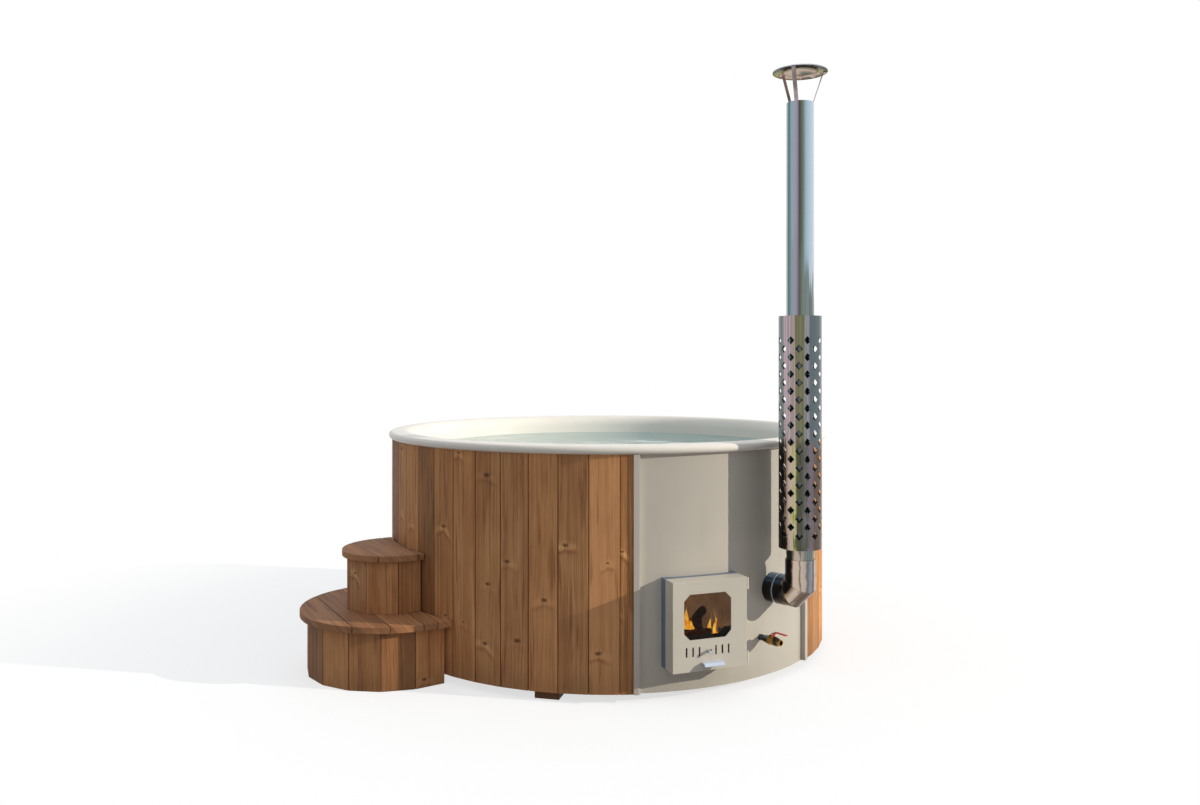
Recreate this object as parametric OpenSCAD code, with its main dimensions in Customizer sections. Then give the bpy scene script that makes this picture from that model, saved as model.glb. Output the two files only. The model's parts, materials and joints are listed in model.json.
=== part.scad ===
// Round wooden hot tub with a moulded liner, a stove built in under the bench,
// a chimney with a perforated heat shield, a drain valve and a two-tread step.
// The origin is the tub's axis on the ground, +Z is up and the front panel faces -Y.
// A bearing is an angle about +Z, counted from -Y towards +X.

/* [Cladding] */
// Radius of the cladding over its joints
tub_r = 1000; // [970:1:1040]
// Height of the cladding's lower end over the ground
ground_gap = 33; // [28:1:38]
// Length of the cladding boards
cladding_h = 898; // [880:1:930]
// Face width that the boards aim at
board_w = 117; // [105:1:130]
// Thickness of a board
board_t = 20; // [18:0.5:24]
// Gap between two boards' faces
board_gap = 1.6; // [1:0.1:2.4]
// Bevel along a board's outer edges
board_bevel = 2; // [1:0.5:3]
// Reach of a board's tongue
tongue_l = 7; // [5:0.5:8]
// Thickness of a board's tongue
tongue_t = 6; // [5:0.5:7]
// Width of the ripped strip left of the panel
left_strip_w = 75; // [60:1:90]
// Width of the ripped strip right of the panel
right_strip_w = 99; // [80:1:110]

/* [Front panel] */
// Bearing of the panel's edges
panel_half_angle = 24; // [23.5:0.1:25]
// Depth of the panel's face behind the boards' faces
panel_recess = 11.5; // [9:0.5:13]
// Thickness of the panel's sheet
sheet_t = 2; // [1.5:0.1:2.5]
// Height of the panel's lips over the boards' faces
lip_stand = 6.5; // [4:0.5:8]
// Width of the lips over the boards
lip_w = 24; // [18:1:30]

/* [Liner] */
// Wall of the liner
liner_t = 6; // [5:0.5:8]
// Overhang of the rim past the cladding
rim_over = 14; // [10:1:20]
// Thickness of the rim's rounded edge
rim_h = 32; // [26:1:36]
// Distance from the cladding's outside in to the rim's crest
crest_in = 52; // [48:1:58]
// Rise of the crest over the rounded edge
crest_rise = 3; // [2:0.5:5]
// Radius of the roll from the rim into the tub
roll_r = 60; // [52:1:66]
// Lean of the backrest
back_lean = 8; // [6:0.5:9]
// Height of the seat over the ground
bench_z = 478; // [474:1:500]
// Distance of the footwell's wall in from the cladding's outside, at its floor
foot_in = 520; // [510:1:540]
// Lean of the footwell's wall
foot_lean = 4; // [2:0.5:5]
// Height of the footwell's floor over the ground
floor_z = 170; // [160:1:180]
// Radius between floor and footwell wall
floor_fillet = 25; // [20:1:28]
// Radius of the seat's front edge
seat_edge_r = 25; // [20:1:30]
// Radius between seat and backrest
seat_fillet = 40; // [30:1:50]

/* [Base and frame] */
// Width of a base beam
beam_w = 97; // [90:1:110]
// Height of a base beam
beam_h = 45; // [42:1:50]
// Bearing of the base beams
beam_bearing = -44.6; // [-50:0.1:-40]
// Distance of the side beams from the middle one
beam_spacing = 420; // [380:5:460]
// Distance that the side beams stay short of the middle one's circle
beam_setback = 96; // [80:1:120]
// Thickness of the round deck
deck_t = 18; // [15:1:21]
// Width of the joists and posts
post_w = 45; // [38:1:48]
// Distance of the side joists in from the edge of the footwell's flat floor
joist_in = 205; // [190:5:230]
// Distance of the bench posts in from the cladding's outside
bench_post_in = 320; // [300:5:340]
// Thickness of the plywood rings
ring_t = 21; // [18:1:24]
// Radial width of the plywood rings
ring_w = 66; // [60:1:68]
// Height of the middle ring over the ground
ring_z = 520; // [500:5:560]

/* [Stove] */
// Bearing of the stove door
door_bearing = -10.2; // [-10.6:0.1:-9.6]
// Distance of the boiler's front behind the panel's face
boiler_back = 48.5; // [44:0.5:54]
// Depth of the boiler
boiler_depth = 395; // [380:1:398]
// Height of the boiler's underside over the deck
boiler_lift = 32; // [30:1:34]
// Height of the boiler
boiler_h = 367; // [360:1:372]
// Distance of the boiler's left side from the door's middle
boiler_left_w = 180; // [178:1:190]
// Distance of the boiler's right side from the flue's middle
boiler_right_w = 112; // [108:1:120]
// Plate of the boiler's walls
plate_t = 4; // [3:0.5:5]
// Water space between the boiler's shells
jacket_gap = 32; // [28:1:34]
// Width of the firebox mouth
mouth_w = 250; // [240:1:254]
// Height of the firebox mouth
mouth_h = 268; // [260:1:272]
// Height of the mouth's lower edge over the door's
mouth_up = 20; // [19:1:24]
// Width of the grate
grate_w = 240; // [220:1:244]
// Depth of the grate
grate_l = 236; // [220:1:240]
// Height of the grate's top over the firebox floor
grate_up = 60; // [60:1:66]
// Thickness of the grate
grate_t = 14; // [10:1:14]
// Width of a grate bar
bar_w = 11; // [9:1:13]
// Number of the grate's inner bars
bar_count = 9; // [7:1:10]
// Size of a grate leg
grate_leg_w = 14; // [12:1:16]
// Height of the ash pan
ash_pan_h = 45; // [30:1:45]
// Sheet of the ash pan
ash_pan_t = 2; // [1.5:0.1:3]
// Distance of the smoke baffle from the corner of the firebox's front
baffle_in = 6; // [6:0.5:10]
// Thickness of the smoke baffle
baffle_t = 5; // [4:0.5:6]
// Length of the smoke baffle
baffle_l = 200; // [180:5:220]
// Radius of a circulation pipe
circ_r = 22; // [20:1:24]
// Wall of a circulation pipe
circ_wall = 2; // [1.5:0.1:3]
// Height of the lower circulation pipe over the footwell's floor
circ_low = 62; // [60:1:70]
// Distance between the circulation pipes
circ_rise = 165; // [150:1:170]
// Radius of a pipe grille
grille_r = 36; // [34:1:38]
// Thickness of a pipe grille
grille_t = 5; // [4:0.5:6]
// Width of a grille slit
grille_slit = 5; // [4:0.5:6]

/* [Stove door] */
// Width of the door
door_w = 307; // [304:1:314]
// Height of the door
door_h = 335; // [330:1:340]
// Height of the door's lower edge over the ground
door_z = 131; // [128:1:132]
// Reach of the door's face past the panel
door_out = 92.5; // [88:0.5:96]
// Depth of the door
door_depth = 68; // [62:1:70]
// Sheet of the door and its frame
door_t = 3; // [2.5:0.5:3.5]
// Width of the window
window_w = 194; // [186:1:202]
// Height of the window
window_h = 168; // [158:1:170]
// Height of the window's lower edge over the door's
window_up = 118; // [117:1:122]
// Shift of the window and the air slots from the door's middle
window_shift = -11; // [-14:1:-8]
// Cut across the window's corners
window_cut = 24; // [18:1:30]
// Thickness of the door glass
glass_t = 4; // [3.5:0.5:5]
// Overlap of the glass behind the sheet
glass_lap = 13; // [10:1:14]
// Width of an air slot
slot_w = 6; // [5:0.5:7]
// Height of an air slot
slot_h = 34; // [30:1:36]
// Height of the air slots' lower ends over the door's lower edge
slot_up = 56; // [54:0.5:58]
// Distance between air slots
slot_pitch = 26.5; // [25:0.5:28]
// Distance of the first air slot from the knob
slot_first = 34; // [32:0.5:38]
// Sheet of the air slide
slide_t = 2; // [1.5:0.1:2.5]
// Travel of the air slide
slide_travel = 13.5; // [12:0.1:14]
// Radius of the air knob
knob_r = 6; // [5:0.5:7]
// Length of the air knob
knob_l = 27; // [22:1:32]
// Radius of the air knob's stem
knob_stem_r = 3; // [2.5:0.1:3.5]
// Width of the door's pull
pull_w = 83; // [76:1:92]
// Shift of the pull from the door's middle
pull_shift = 4.5; // [0:0.5:10]
// Height of the pull over the door's lower edge
pull_up = 30; // [24:1:36]
// Reach of the pull
pull_out = 30; // [25:1:35]
// Fall of the pull's lip
pull_drop = 9; // [5:1:12]
// Radius of a hinge barrel
barrel_r = 7; // [6:0.5:8]
// Length of a hinge's two barrels together
barrel_l = 44; // [36:1:50]
// Radius of a hinge pin
pin_r = 4; // [3:0.5:4.5]
// Distance of the hinge axis from the door's side
hinge_out = 10; // [9.5:0.5:12]
// Distance of the hinge axis behind the door's face
hinge_back = 18; // [14:1:22]
// Distance of each hinge's middle from the door's end
hinge_in = 28; // [26:1:40]
// Width of the door's rope seal
seal_w = 10; // [8:1:11]

/* [Chimney] */
// Bearing of the flue
flue_bearing = 10.7; // [10.3:0.1:11.1]
// Height of the flue's outlet axis over the ground
flue_z = 378; // [373:1:382]
// Distance of the chimney's axis from the panel's face
flue_out = 139.5; // [136:0.5:148]
// Radius of the chimney pipe
pipe_r = 53.5; // [50:0.5:55]
// Wall of the chimney pipe
pipe_wall = 2; // [1.5:0.1:2.5]
// Height of the chimney pipe's top over the ground
pipe_top = 2283; // [2150:1:2400]
// Radius of the elbow
elbow_r = 58; // [57:0.5:60]
// Length of the elbow's upper leg
elbow_leg = 100; // [90:1:110]
// Wall of the collar in the panel
collar_wall = 2; // [1.5:0.1:2.5]
// Radius of the collar in the panel
collar_r = 59; // [58:0.5:61]
// Distance of the collar's band from the panel's face
band_out = 46; // [40:1:50]
// Width of the collar's band
band_w = 5; // [4:0.5:7]
// Thickness of the collar's band
band_t = 2; // [1.5:0.1:2.5]
// Radius of the heat shield
shield_r = 82.5; // [78:0.5:88]
// Wall of the heat shield
shield_wall = 1.5; // [1:0.1:2]
// Height of the heat shield's lower end over the flue's axis
shield_up = 178; // [172:1:190]
// Length of the heat shield
shield_h = 899; // [880:1:930]
// Width of a diamond hole
diamond_w = 30; // [24:1:31]
// Height of a diamond hole
diamond_h = 32; // [26:1:36]
// Number of columns of holes
diamond_columns = 16; // [12:2:16]
// Number of holes in a column
diamond_rows = 12; // [8:1:12]
// Distance between two holes of a column
diamond_pitch = 65; // [62:1:68]
// Distance of the first hole's middle from the shield's top
diamond_top = 95; // [88:1:100]
// Radius of the chimney cap
cap_r = 106; // [100:0.5:115]
// Rise of the cap's rim over the pipe
cap_gap = 122; // [110:1:130]
// Rise of the cap's middle over its rim
cap_rise = 14; // [10:1:18]
// Sheet of the cap
cap_t = 2; // [1.5:0.1:3]
// Width of a cap strap
strap_w = 16; // [12:1:20]
// Thickness of a cap strap
strap_t = 1.5; // [1:0.1:2]
// Length of a strap's foot in the pipe
strap_foot = 44; // [36:1:60]

/* [Drain valve] */
// Bearing of the drain
drain_bearing = 6.7; // [6.4:0.1:7]
// Height of the drain's axis over the ground
drain_z = 190; // [186:1:194]
// Radius of the drain pipe
drain_r = 12; // [11:0.5:13]
// Radius of the waterway
water_r = 7.5; // [6.5:0.5:8]
// Length of the drain pipe past the panel
nipple_out = 34; // [30:1:36]
// Length of the cone to the valve
reducer_l = 22; // [18:1:26]
// Width across the flats of the valve's hexagons
valve_flats = 35; // [32:1:37]
// Radius of the valve's body
valve_r = 16.5; // [16:0.5:17]
// Length of the valve's body
valve_l = 32; // [30:1:36]
// Width of a valve hexagon
hex_l = 6; // [5:0.5:7]
// Radius of the valve's ball
ball_r = 11; // [10:0.5:12]
// Height of the boss round the valve's stem
boss_h = 4; // [3:0.5:6]
// Radius of the valve's stem
stem_r = 4; // [3:0.5:4.5]
// Length of the black union nut
nut_l = 13; // [10:1:15]
// Radius of the black union nut
nut_r = 15; // [14:0.5:16]
// Length of the outlet past the nut
outlet_l = 15; // [14:0.5:18]
// Radius of the outlet
outlet_r = 12.5; // [11.5:0.5:13]
// Radius of the outlet's thread bore
thread_r = 9.3; // [9:0.1:9.6]
// Depth of the outlet's thread bore
thread_l = 14; // [12:0.5:16]
// Length of the lever from the stem
lever_l = 73; // [60:1:85]
// Width of the lever
lever_w = 13; // [11:0.5:15]
// Thickness of the lever
lever_t = 3; // [2.5:0.1:4]
// Rise of the lever's crank
lever_rise = 13; // [10:0.5:16]

/* [Step] */
// Bearing of the step
step_bearing = -91; // [-93:0.1:-90]
// Distance of the step's centre outside the cladding
step_out = 38; // [34:1:44]
// Gap between step and cladding
step_gap = 6; // [5:0.5:8]
// Radius of the lower drum
lower_r = 358; // [350:1:366]
// Overhang of the lower tread
lower_over = 27; // [22:1:30]
// Height of the lower tread's top
lower_top = 258; // [250:1:266]
// Radius of the upper drum
upper_r = 202; // [196:1:208]
// Overhang of the upper tread
upper_over = 14; // [12:1:20]
// Height of the upper tread's top
upper_top = 497; // [480:1:510]
// Thickness of a tread
tread_t = 27; // [24:1:30]
// Thickness of a riser board
riser_t = 18; // [16:1:21]
// Gap between riser boards and between tread boards
riser_gap = 1.6; // [1:0.1:2.4]
// Width of a riser board
riser_board = 132; // [128:1:138]
// Width of the lower tread's boards
lower_board = 127; // [122:1:132]
// Distance of the lower tread's middle joint in front of the drum's centre
lower_joint = 6; // [0:1:12]
// Width of the lower tread's ripped board
ripped_board = 56; // [50:1:60]
// Width of the upper tread's middle board
upper_board = 152; // [146:1:160]
// Distance of the upper tread's rear joint behind the drum's centre
upper_joint = 21; // [14:1:26]
// Turn of the upper tread's boards
upper_turn = 2.2; // [0:0.2:4]
// Radial width of the step's ribs
rib_w = 70; // [60:1:80]

/* [Hidden] */
$fn = 96;
// Clearance between pieces that seat on each other
fit = 0.3;
// Radial clearance of a shaft in its bore
run_fit = 0.05;
// Overrun of a cut past the face that it opens
over = 5;
// Reach of a cutting block, past every piece that it trims
far = 3 * tub_r;

deg = 180 / PI;
tan22 = tan(22.5);

function spot(a, r) = [r * sin(a), -r * cos(a)];
function turn(p, a) = [p.x * cos(a) - p.y * sin(a), p.x * sin(a) + p.y * cos(a)];
function arc(c, r, a0, a1, n) =
    [for (i = [0 : n]) let (a = a0 + (a1 - a0) * i / n) [c.x + r * cos(a), c.y + r * sin(a)]];
// Corner where two upright walls meet, each given by its normal's bearing and its distance
function meet(a1, d1, a2, d2) =
    [d2 * cos(a1) - d1 * cos(a2), d2 * sin(a1) - d1 * sin(a2)] / sin(a2 - a1);

// Heights
cladding_top = ground_gap + cladding_h;
deck_top = beam_h + deck_t;
crest_z = cladding_top + rim_h + crest_rise;

// Cladding
left_end = panel_half_angle + left_strip_w / tub_r * deg;
right_end = panel_half_angle + right_strip_w / tub_r * deg;
wrap = 360 - left_end - right_end;
board_groups = 5;
group_boards = round(wrap / deg * tub_r / board_w / board_groups);
board_count = group_boards * board_groups;
board_pitch = wrap / board_count;
inside_r = (tub_r - board_t) * cos(board_pitch / 2) - fit;
strip_edge = panel_half_angle + (sheet_t + fit) / tub_r * deg;

// Bearings of the posts and of the rings' ends, past the panel's edge
bench_post_bearing = 50;
bench_bays = 5;
frame_bays = 8;
ring_end = 1.5;

// Panel
panel_r = tub_r - panel_recess;
lip_r = tub_r + lip_stand;

// Liner profile: arc centres as [radius, height]
foot_r = tub_r - foot_in;
bead_r = rim_h / 2;
bead = [tub_r + rim_over - bead_r, cladding_top + bead_r];
roll = [tub_r - crest_in, crest_z - roll_r];
back_top = roll + roll_r * [-cos(back_lean), sin(back_lean)];
seat_arc_z = bench_z + seat_fillet;
back_foot_z = seat_arc_z - seat_fillet * sin(back_lean);
back_foot_r = back_top.x - (back_top.y - back_foot_z) * tan(back_lean);
seat_arc = [back_foot_r - seat_fillet * cos(back_lean), seat_arc_z];
foot_arc = [foot_r - floor_fillet, floor_z + floor_fillet];
foot_low = foot_arc + floor_fillet * [cos(foot_lean), -sin(foot_lean)];
edge_z = bench_z - seat_edge_r;
foot_high_z = edge_z + seat_edge_r * sin(foot_lean);
foot_high_r = foot_low.x + (foot_high_z - foot_low.y) * tan(foot_lean);
edge_arc = [foot_high_r + seat_edge_r * cos(foot_lean), edge_z];
rim_fall = asin(crest_rise / (bead.x - roll.x));
under_angle = asin((cladding_top - roll.y) / (roll_r - liner_t));
function foot_wall_r(z) = foot_low.x + (z - foot_low.y) * tan(foot_lean);

// Boiler: five upright walls, moved in by a distance
boiler_bearing = (door_bearing + flue_bearing) / 2;
boiler_front = panel_r - boiler_back;
boiler_rear = boiler_front - boiler_depth;
boiler_z = deck_top + boiler_lift;
function boiler_plan(w) = [
    meet(door_bearing - 90, boiler_left_w - w, door_bearing, boiler_front - w),
    meet(door_bearing, boiler_front - w, flue_bearing, boiler_front - w),
    meet(flue_bearing, boiler_front - w, flue_bearing + 90, boiler_right_w - w),
    meet(flue_bearing + 90, boiler_right_w - w, boiler_bearing + 180, -boiler_rear - w),
    meet(boiler_bearing + 180, -boiler_rear - w, door_bearing - 90, boiler_left_w - w)
];
fire_in = plate_t + jacket_gap;
cavity_in = fire_in + plate_t;
cavity_z = boiler_z + cavity_in;
cavity_h = boiler_h - 2 * cavity_in;
circ_z = [floor_z + circ_low, floor_z + circ_low + circ_rise];

// Stove door: distances from the tub's axis along the door's bearing
door_face = panel_r + door_out;
door_back = door_face - door_depth;
frame_face = door_back - fit;
mouth_z = door_z + mouth_up;
mouth_end = frame_face - plate_t;
sheet_back = door_face - door_t;
glass_back = sheet_back - fit - glass_t;
plate_face = frame_face + (sheet_back - frame_face) * 0.2;
window_z = door_z + window_up;
glass_w = window_w + 2 * glass_lap;
glass_z = window_z - glass_lap;
glass_h = window_h + 2 * glass_lap;
slot_z = door_z + slot_up;
knob_z = slot_z + slot_h / 2;
slide_lap = 6;
slide_h = slot_h + 2 * slide_lap;
slide_w = 2 * (slot_first + 2.5 * slot_pitch);
guide_t = 2;
guide_lap = 4;
hinge_x = door_w / 2 + hinge_out;
hinge_d = door_face - hinge_back;
hinge_arm_t = barrel_r * 0.6;
hinge_foot = 22;
hinge_foot_in = 25;
hinge_zs = [door_z + hinge_in, door_z + door_h - hinge_in];
slot_xs = [for (s = [-1, 1]) for (i = [0 : 2]) window_shift + s * (slot_first + i * slot_pitch)];

// Chimney: distances from the tub's axis along the flue's bearing
chimney_d = panel_r + flue_out;
mitre = elbow_r * tan22;
throat = 1;
middle_leg = (2 * mitre + throat) * sqrt(0.5);
elbow_in = chimney_d - middle_leg;
elbow_start = elbow_in - mitre - throat;
elbow_up = flue_z + middle_leg;
elbow_top = elbow_up + elbow_leg;
socket_r = pipe_r + fit;
pipe_foot = elbow_up + mitre;
collar_tail = 26;
shield_z = flue_z + shield_up;
cap_z = pipe_top + cap_gap;
strap_bearings = [-58, 62, 182];
cap_ring_share = 0.62;
spacer_in = 38;
spacer_h = 22;

// Drain valve: distances from the tub's axis along the drain's bearing
nipple_in = boiler_front / cos(flue_bearing - drain_bearing) - plate_t - over;
nipple_end = panel_r + nipple_out;
reducer_end = nipple_end + reducer_l * 0.7;
reducer_start = reducer_end - reducer_l;
valve_end = reducer_end + valve_l;
ball_d = reducer_end + valve_l / 2;
nut_end = valve_end + nut_l;
outlet_end = nut_end + outlet_l;
lever_z = drain_z + valve_r + boss_h + fit;
stem_top = lever_z + 3 * lever_t;

// Step: local coordinates with the drums' centre at the origin
step_r = tub_r + step_out;
lower_tread_z = lower_top - tread_t;
upper_tread_z = upper_top - tread_t;
sliver_share = 0.1;
// Half of the angle that a riser board takes up
function drum_half(r) = asin(riser_board / 2 / r);
// Angle from the front at which a drum's circle meets the tub
function drum_end(r) =
    90 + asin((r * r + step_r * step_r - pow(tub_r + step_gap, 2)) / (2 * step_r * r));

// Moves what follows to a bearing, with local -Y pointing outwards
module at(a, r = 0) {
    rotate([0, 0, a])
        translate([0, -r, 0])
            children();
}

// Part of a ring between two bearings
module sector(r0, r1, z0, z1, a0, a1) {
    rotate([0, 0, a0 - 90])
        rotate_extrude(angle = a1 - a0, $fn = 360)
            translate([r0, z0])
                square([r1 - r0, z1 - z0]);
}

// Plan of a curved strip between two bearings less than half a turn apart
module strip(r0, r1, a0, a1) {
    intersection() {
        difference() {
            circle(r = r1, $fn = 360);
            circle(r = r0, $fn = 360);
        }
        polygon([[0, 0], spot(a0, far), spot(a1, far)]);
    }
}

// Block in a bearing's frame: x to the right, d outwards from the tub's axis
module block(x0, x1, d0, d1, z0, z1) {
    translate([x0, -d1, z0])
        cube([x1 - x0, d1 - d0, z1 - z0]);
}

// Rod lying along a bearing, from one distance to another
module rod(r, d0, d1, z, r2 = 0) {
    translate([0, -d0, z])
        rotate([90, 0, 0])
            cylinder(r1 = r, r2 = r2 == 0 ? r : r2, h = d1 - d0);
}

module beam(offset, half) {
    rotate([0, 0, beam_bearing])
        translate([offset - beam_w / 2, -half, 0])
            cube([beam_w, 2 * half, beam_h]);
}

module base_beam_centre() {
    reach = inside_r - fit;
    color("saddlebrown")
        beam(0, sqrt(reach * reach - beam_w * beam_w / 4));
}

module base_beams_side() {
    reach = inside_r - beam_setback;
    side = beam_spacing + beam_w / 2;
    color("saddlebrown")
        for (s = [-1, 1])
            beam(s * beam_spacing, sqrt(reach * reach - side * side));
}

module base_deck() {
    color("burlywood")
        translate([0, 0, beam_h])
            cylinder(r = inside_r, h = deck_t, $fn = 360);
}

module floor_joists() {
    reach = foot_arc.x;
    spacing = reach - joist_in;
    color("peru")
        rotate([0, 0, beam_bearing + 90])
            for (s = [-1 : 1]) {
                half = sqrt(reach * reach - pow(abs(s) * spacing + post_w / 2, 2));
                translate([s * spacing - post_w / 2, -half, deck_top])
                    cube([post_w, 2 * half, floor_z - liner_t - deck_top]);
            }
}

module post(a, r, z0, z1) {
    at(a, r)
        translate([-post_w / 2, -post_w / 2, z0])
            cube([post_w, post_w, z1 - z0]);
}

module bench_posts() {
    step = (360 - 2 * bench_post_bearing) / bench_bays;
    color("peru")
        for (i = [0 : bench_bays])
            post(bench_post_bearing + i * step, tub_r - bench_post_in, deck_top, bench_z - liner_t);
}

module frame_posts() {
    first = panel_half_angle + 3 * ring_end;
    step = (360 - 2 * first) / frame_bays;
    r = inside_r - post_w / 2 - over;
    color("peru")
        for (i = [0 : frame_bays]) {
            post(first + i * step, r, deck_top, ring_z);
            post(first + i * step, r, ring_z + ring_t, cladding_top - ring_t);
        }
}

module ring(z) {
    a = panel_half_angle + ring_end;
    color("burlywood")
        sector(inside_r - ring_w, inside_r, z, z + ring_t, a, 360 - a);
}

module ring_middle() {
    ring(ring_z);
}

module ring_upper() {
    ring(cladding_top - ring_t);
}

// Outline of a board beside a joint, in the joint plane's own frame
tongue_side = let (g = board_gap / 2, m = board_t / 2 - tub_r, h = tongue_t / 2) [
    [-g - board_bevel, -tub_r], [-g, board_bevel - tub_r], [-g, m - h], [tongue_l - g, m - h],
    [tongue_l - g, m + h], [-g, m + h], [-g, board_t - tub_r]
];
// The groove takes the neighbour's tongue with a clearance all round
groove_side = let (g = board_gap / 2, m = board_t / 2 - tub_r, h = tongue_t / 2 + fit,
        d = tongue_l - g + fit) [
    [g + board_bevel, -tub_r], [g, board_bevel - tub_r], [g, m - h], [d, m - h],
    [d, m + h], [g, m + h], [g, board_t - tub_r]
];
// Ripped edge: s is 1 where the board lies before the plane, and -1 where it lies after it
function ripped_side(s) = [
    [-s * board_bevel, -tub_r], [0, board_bevel - tub_r], [0, board_t - tub_r]
];
function reversed(v) = [for (i = [len(v) - 1 : -1 : 0]) v[i]];
function turned(v, a) = [for (p = v) turn(p, a)];

module board(left, right, left_side, right_side) {
    translate([0, 0, ground_gap])
        linear_extrude(cladding_h)
            polygon(concat(turned(right_side, right), turned(reversed(left_side), left)));
}

module cladding_group(group) {
    color(["#7b5239", "#825940", "#86603f", "#7d563b", "#8a6344"][group])
        for (i = [0 : group_boards - 1]) {
            right = -left_end - (group * group_boards + i) * board_pitch;
            board(right - board_pitch, right, groove_side, tongue_side);
        }
}

module cladding_left() {
    cladding_group(0);
}

module cladding_rear_left() {
    cladding_group(1);
}

module cladding_rear() {
    cladding_group(2);
}

module cladding_rear_right() {
    cladding_group(3);
}

module cladding_right() {
    cladding_group(4);
}

module cladding_edge_strips() {
    color("#84573a") {
        board(-left_end, -strip_edge, groove_side, ripped_side(1));
        board(strip_edge, right_end, ripped_side(-1), tongue_side);
    }
}

module front_panel() {
    leg = sheet_t / tub_r * deg;
    lip = lip_w / tub_r * deg;
    a = panel_half_angle;
    hole_w = mouth_w + 2 * (plate_t + fit);
    color("#c9c1b2")
        difference() {
            translate([0, 0, ground_gap])
                linear_extrude(cladding_h)
                    difference() {
                        strip(panel_r - sheet_t, lip_r, -a - lip, a + lip);
                        strip(panel_r, lip_r + over, -a, a);
                        for (s = [-1, 1])
                            strip(panel_r - sheet_t - over, lip_r - sheet_t,
                                s < 0 ? -a - lip - leg : a + leg, s < 0 ? -a - leg : a + lip + leg);
                    }
            at(door_bearing)
                block(-hole_w / 2, hole_w / 2, panel_r - door_out, panel_r + door_out,
                    mouth_z - plate_t - fit, mouth_z + mouth_h + plate_t + fit);
            at(flue_bearing)
                rod(collar_r + fit, panel_r - flue_out / 2, panel_r + flue_out / 2, flue_z);
            at(drain_bearing)
                rod(drain_r + fit, panel_r - nipple_out, panel_r + nipple_out, drain_z);
        }
}

module tub_liner() {
    skin = concat(
        [[0, floor_z]],
        arc(foot_arc, floor_fillet, -90, -foot_lean, 6),
        arc(edge_arc, seat_edge_r, 180 - foot_lean, 90, 6),
        arc(seat_arc, seat_fillet, -90, -back_lean, 6),
        arc(roll, roll_r, 180 - back_lean, 90 - rim_fall, 10),
        arc(bead, bead_r, 90 - rim_fall, -90, 12)
    );
    shell = concat(
        arc(roll, roll_r - liner_t, 180 - under_angle, 180 - back_lean, 3),
        arc(seat_arc, seat_fillet + liner_t, -back_lean, -90, 6),
        arc(edge_arc, seat_edge_r - liner_t, 90, 180 - foot_lean, 6),
        arc(foot_arc, floor_fillet + liner_t, -foot_lean, -90, 6),
        [[0, floor_z - liner_t]]
    );
    color("#f3eee4")
        difference() {
            rotate_extrude($fn = 360)
                polygon(concat(skin, shell));
            for (z = circ_z)
                at(boiler_bearing)
                    rod(circ_r + fit, foot_r - floor_fillet, boiler_rear, z);
        }
}

module circulation_pipes() {
    color("silver")
        at(boiler_bearing)
            for (z = circ_z)
                difference() {
                    rod(circ_r, foot_wall_r(z), boiler_rear + plate_t + over, z);
                    rod(circ_r - circ_wall, foot_wall_r(z) - over, boiler_rear + plate_t + 2 * over, z);
                }
}

module circulation_grilles() {
    sag = foot_low.x - sqrt(foot_low.x * foot_low.x - grille_r * grille_r) + fit;
    color("whitesmoke")
        at(boiler_bearing)
            for (z = circ_z)
                translate([0, sag - foot_wall_r(z), z])
                    rotate([foot_lean - 90, 0, 0])
                        difference() {
                            cylinder(r = grille_r, h = grille_t);
                            for (i = [-3 : 3]) {
                                w = sqrt(pow(circ_r - circ_wall, 2) - pow(i * grille_slit, 2));
                                if (i % 2 == 0)
                                    translate([-w, i * grille_slit - grille_slit / 2, -over])
                                        cube([2 * w, grille_slit, grille_t + 2 * over]);
                            }
                        }
}

module boiler_prism(w, z0, z1) {
    translate([0, 0, z0])
        linear_extrude(z1 - z0)
            polygon(boiler_plan(w));
}

module mouth(extra, d0, d1) {
    at(door_bearing)
        block(-mouth_w / 2 - extra, mouth_w / 2 + extra, d0, d1,
            mouth_z - extra, mouth_z + mouth_h + extra);
}

module boiler_jacket() {
    top = boiler_z + boiler_h;
    color("gainsboro")
        difference() {
            boiler_prism(0, boiler_z, top);
            boiler_prism(plate_t, boiler_z + plate_t, top - plate_t);
            mouth(plate_t + fit, boiler_front - jacket_gap, boiler_front + over);
            at(flue_bearing)
                rod(pipe_r + fit, boiler_front - jacket_gap, boiler_front + over, flue_z);
            at(drain_bearing)
                rod(drain_r + fit, boiler_front - jacket_gap, boiler_front + 2 * over, drain_z);
            for (z = circ_z)
                at(boiler_bearing)
                    rod(circ_r + fit, boiler_rear - over, boiler_rear + jacket_gap, z);
        }
}

module boiler_bearers() {
    color("dimgray")
        at(boiler_bearing)
            for (share = [0.2, 0.8]) {
                d = boiler_rear + boiler_depth * share;
                block(-boiler_left_w * 0.8, boiler_left_w * 0.8, d - post_w / 2, d + post_w / 2,
                    deck_top, boiler_z);
            }
}

module firebox_shell() {
    color("darkgray")
        difference() {
            union() {
                boiler_prism(fire_in, cavity_z - plate_t, cavity_z + cavity_h + plate_t);
                mouth(plate_t, boiler_front - cavity_in, mouth_end);
            }
            boiler_prism(cavity_in, cavity_z, cavity_z + cavity_h);
            mouth(0, boiler_front - cavity_in - over, mouth_end + over);
            at(flue_bearing)
                rod(pipe_r + fit, boiler_front - cavity_in - over, boiler_front, flue_z);
        }
}

module smoke_baffle() {
    d = boiler_front - cavity_in - fit;
    x = d * tan(boiler_bearing - door_bearing) - baffle_in;
    color("dimgray")
        at(door_bearing)
            block(x, x + baffle_t, d - baffle_l, d, cavity_z, cavity_z + cavity_h - fit);
}

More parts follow.
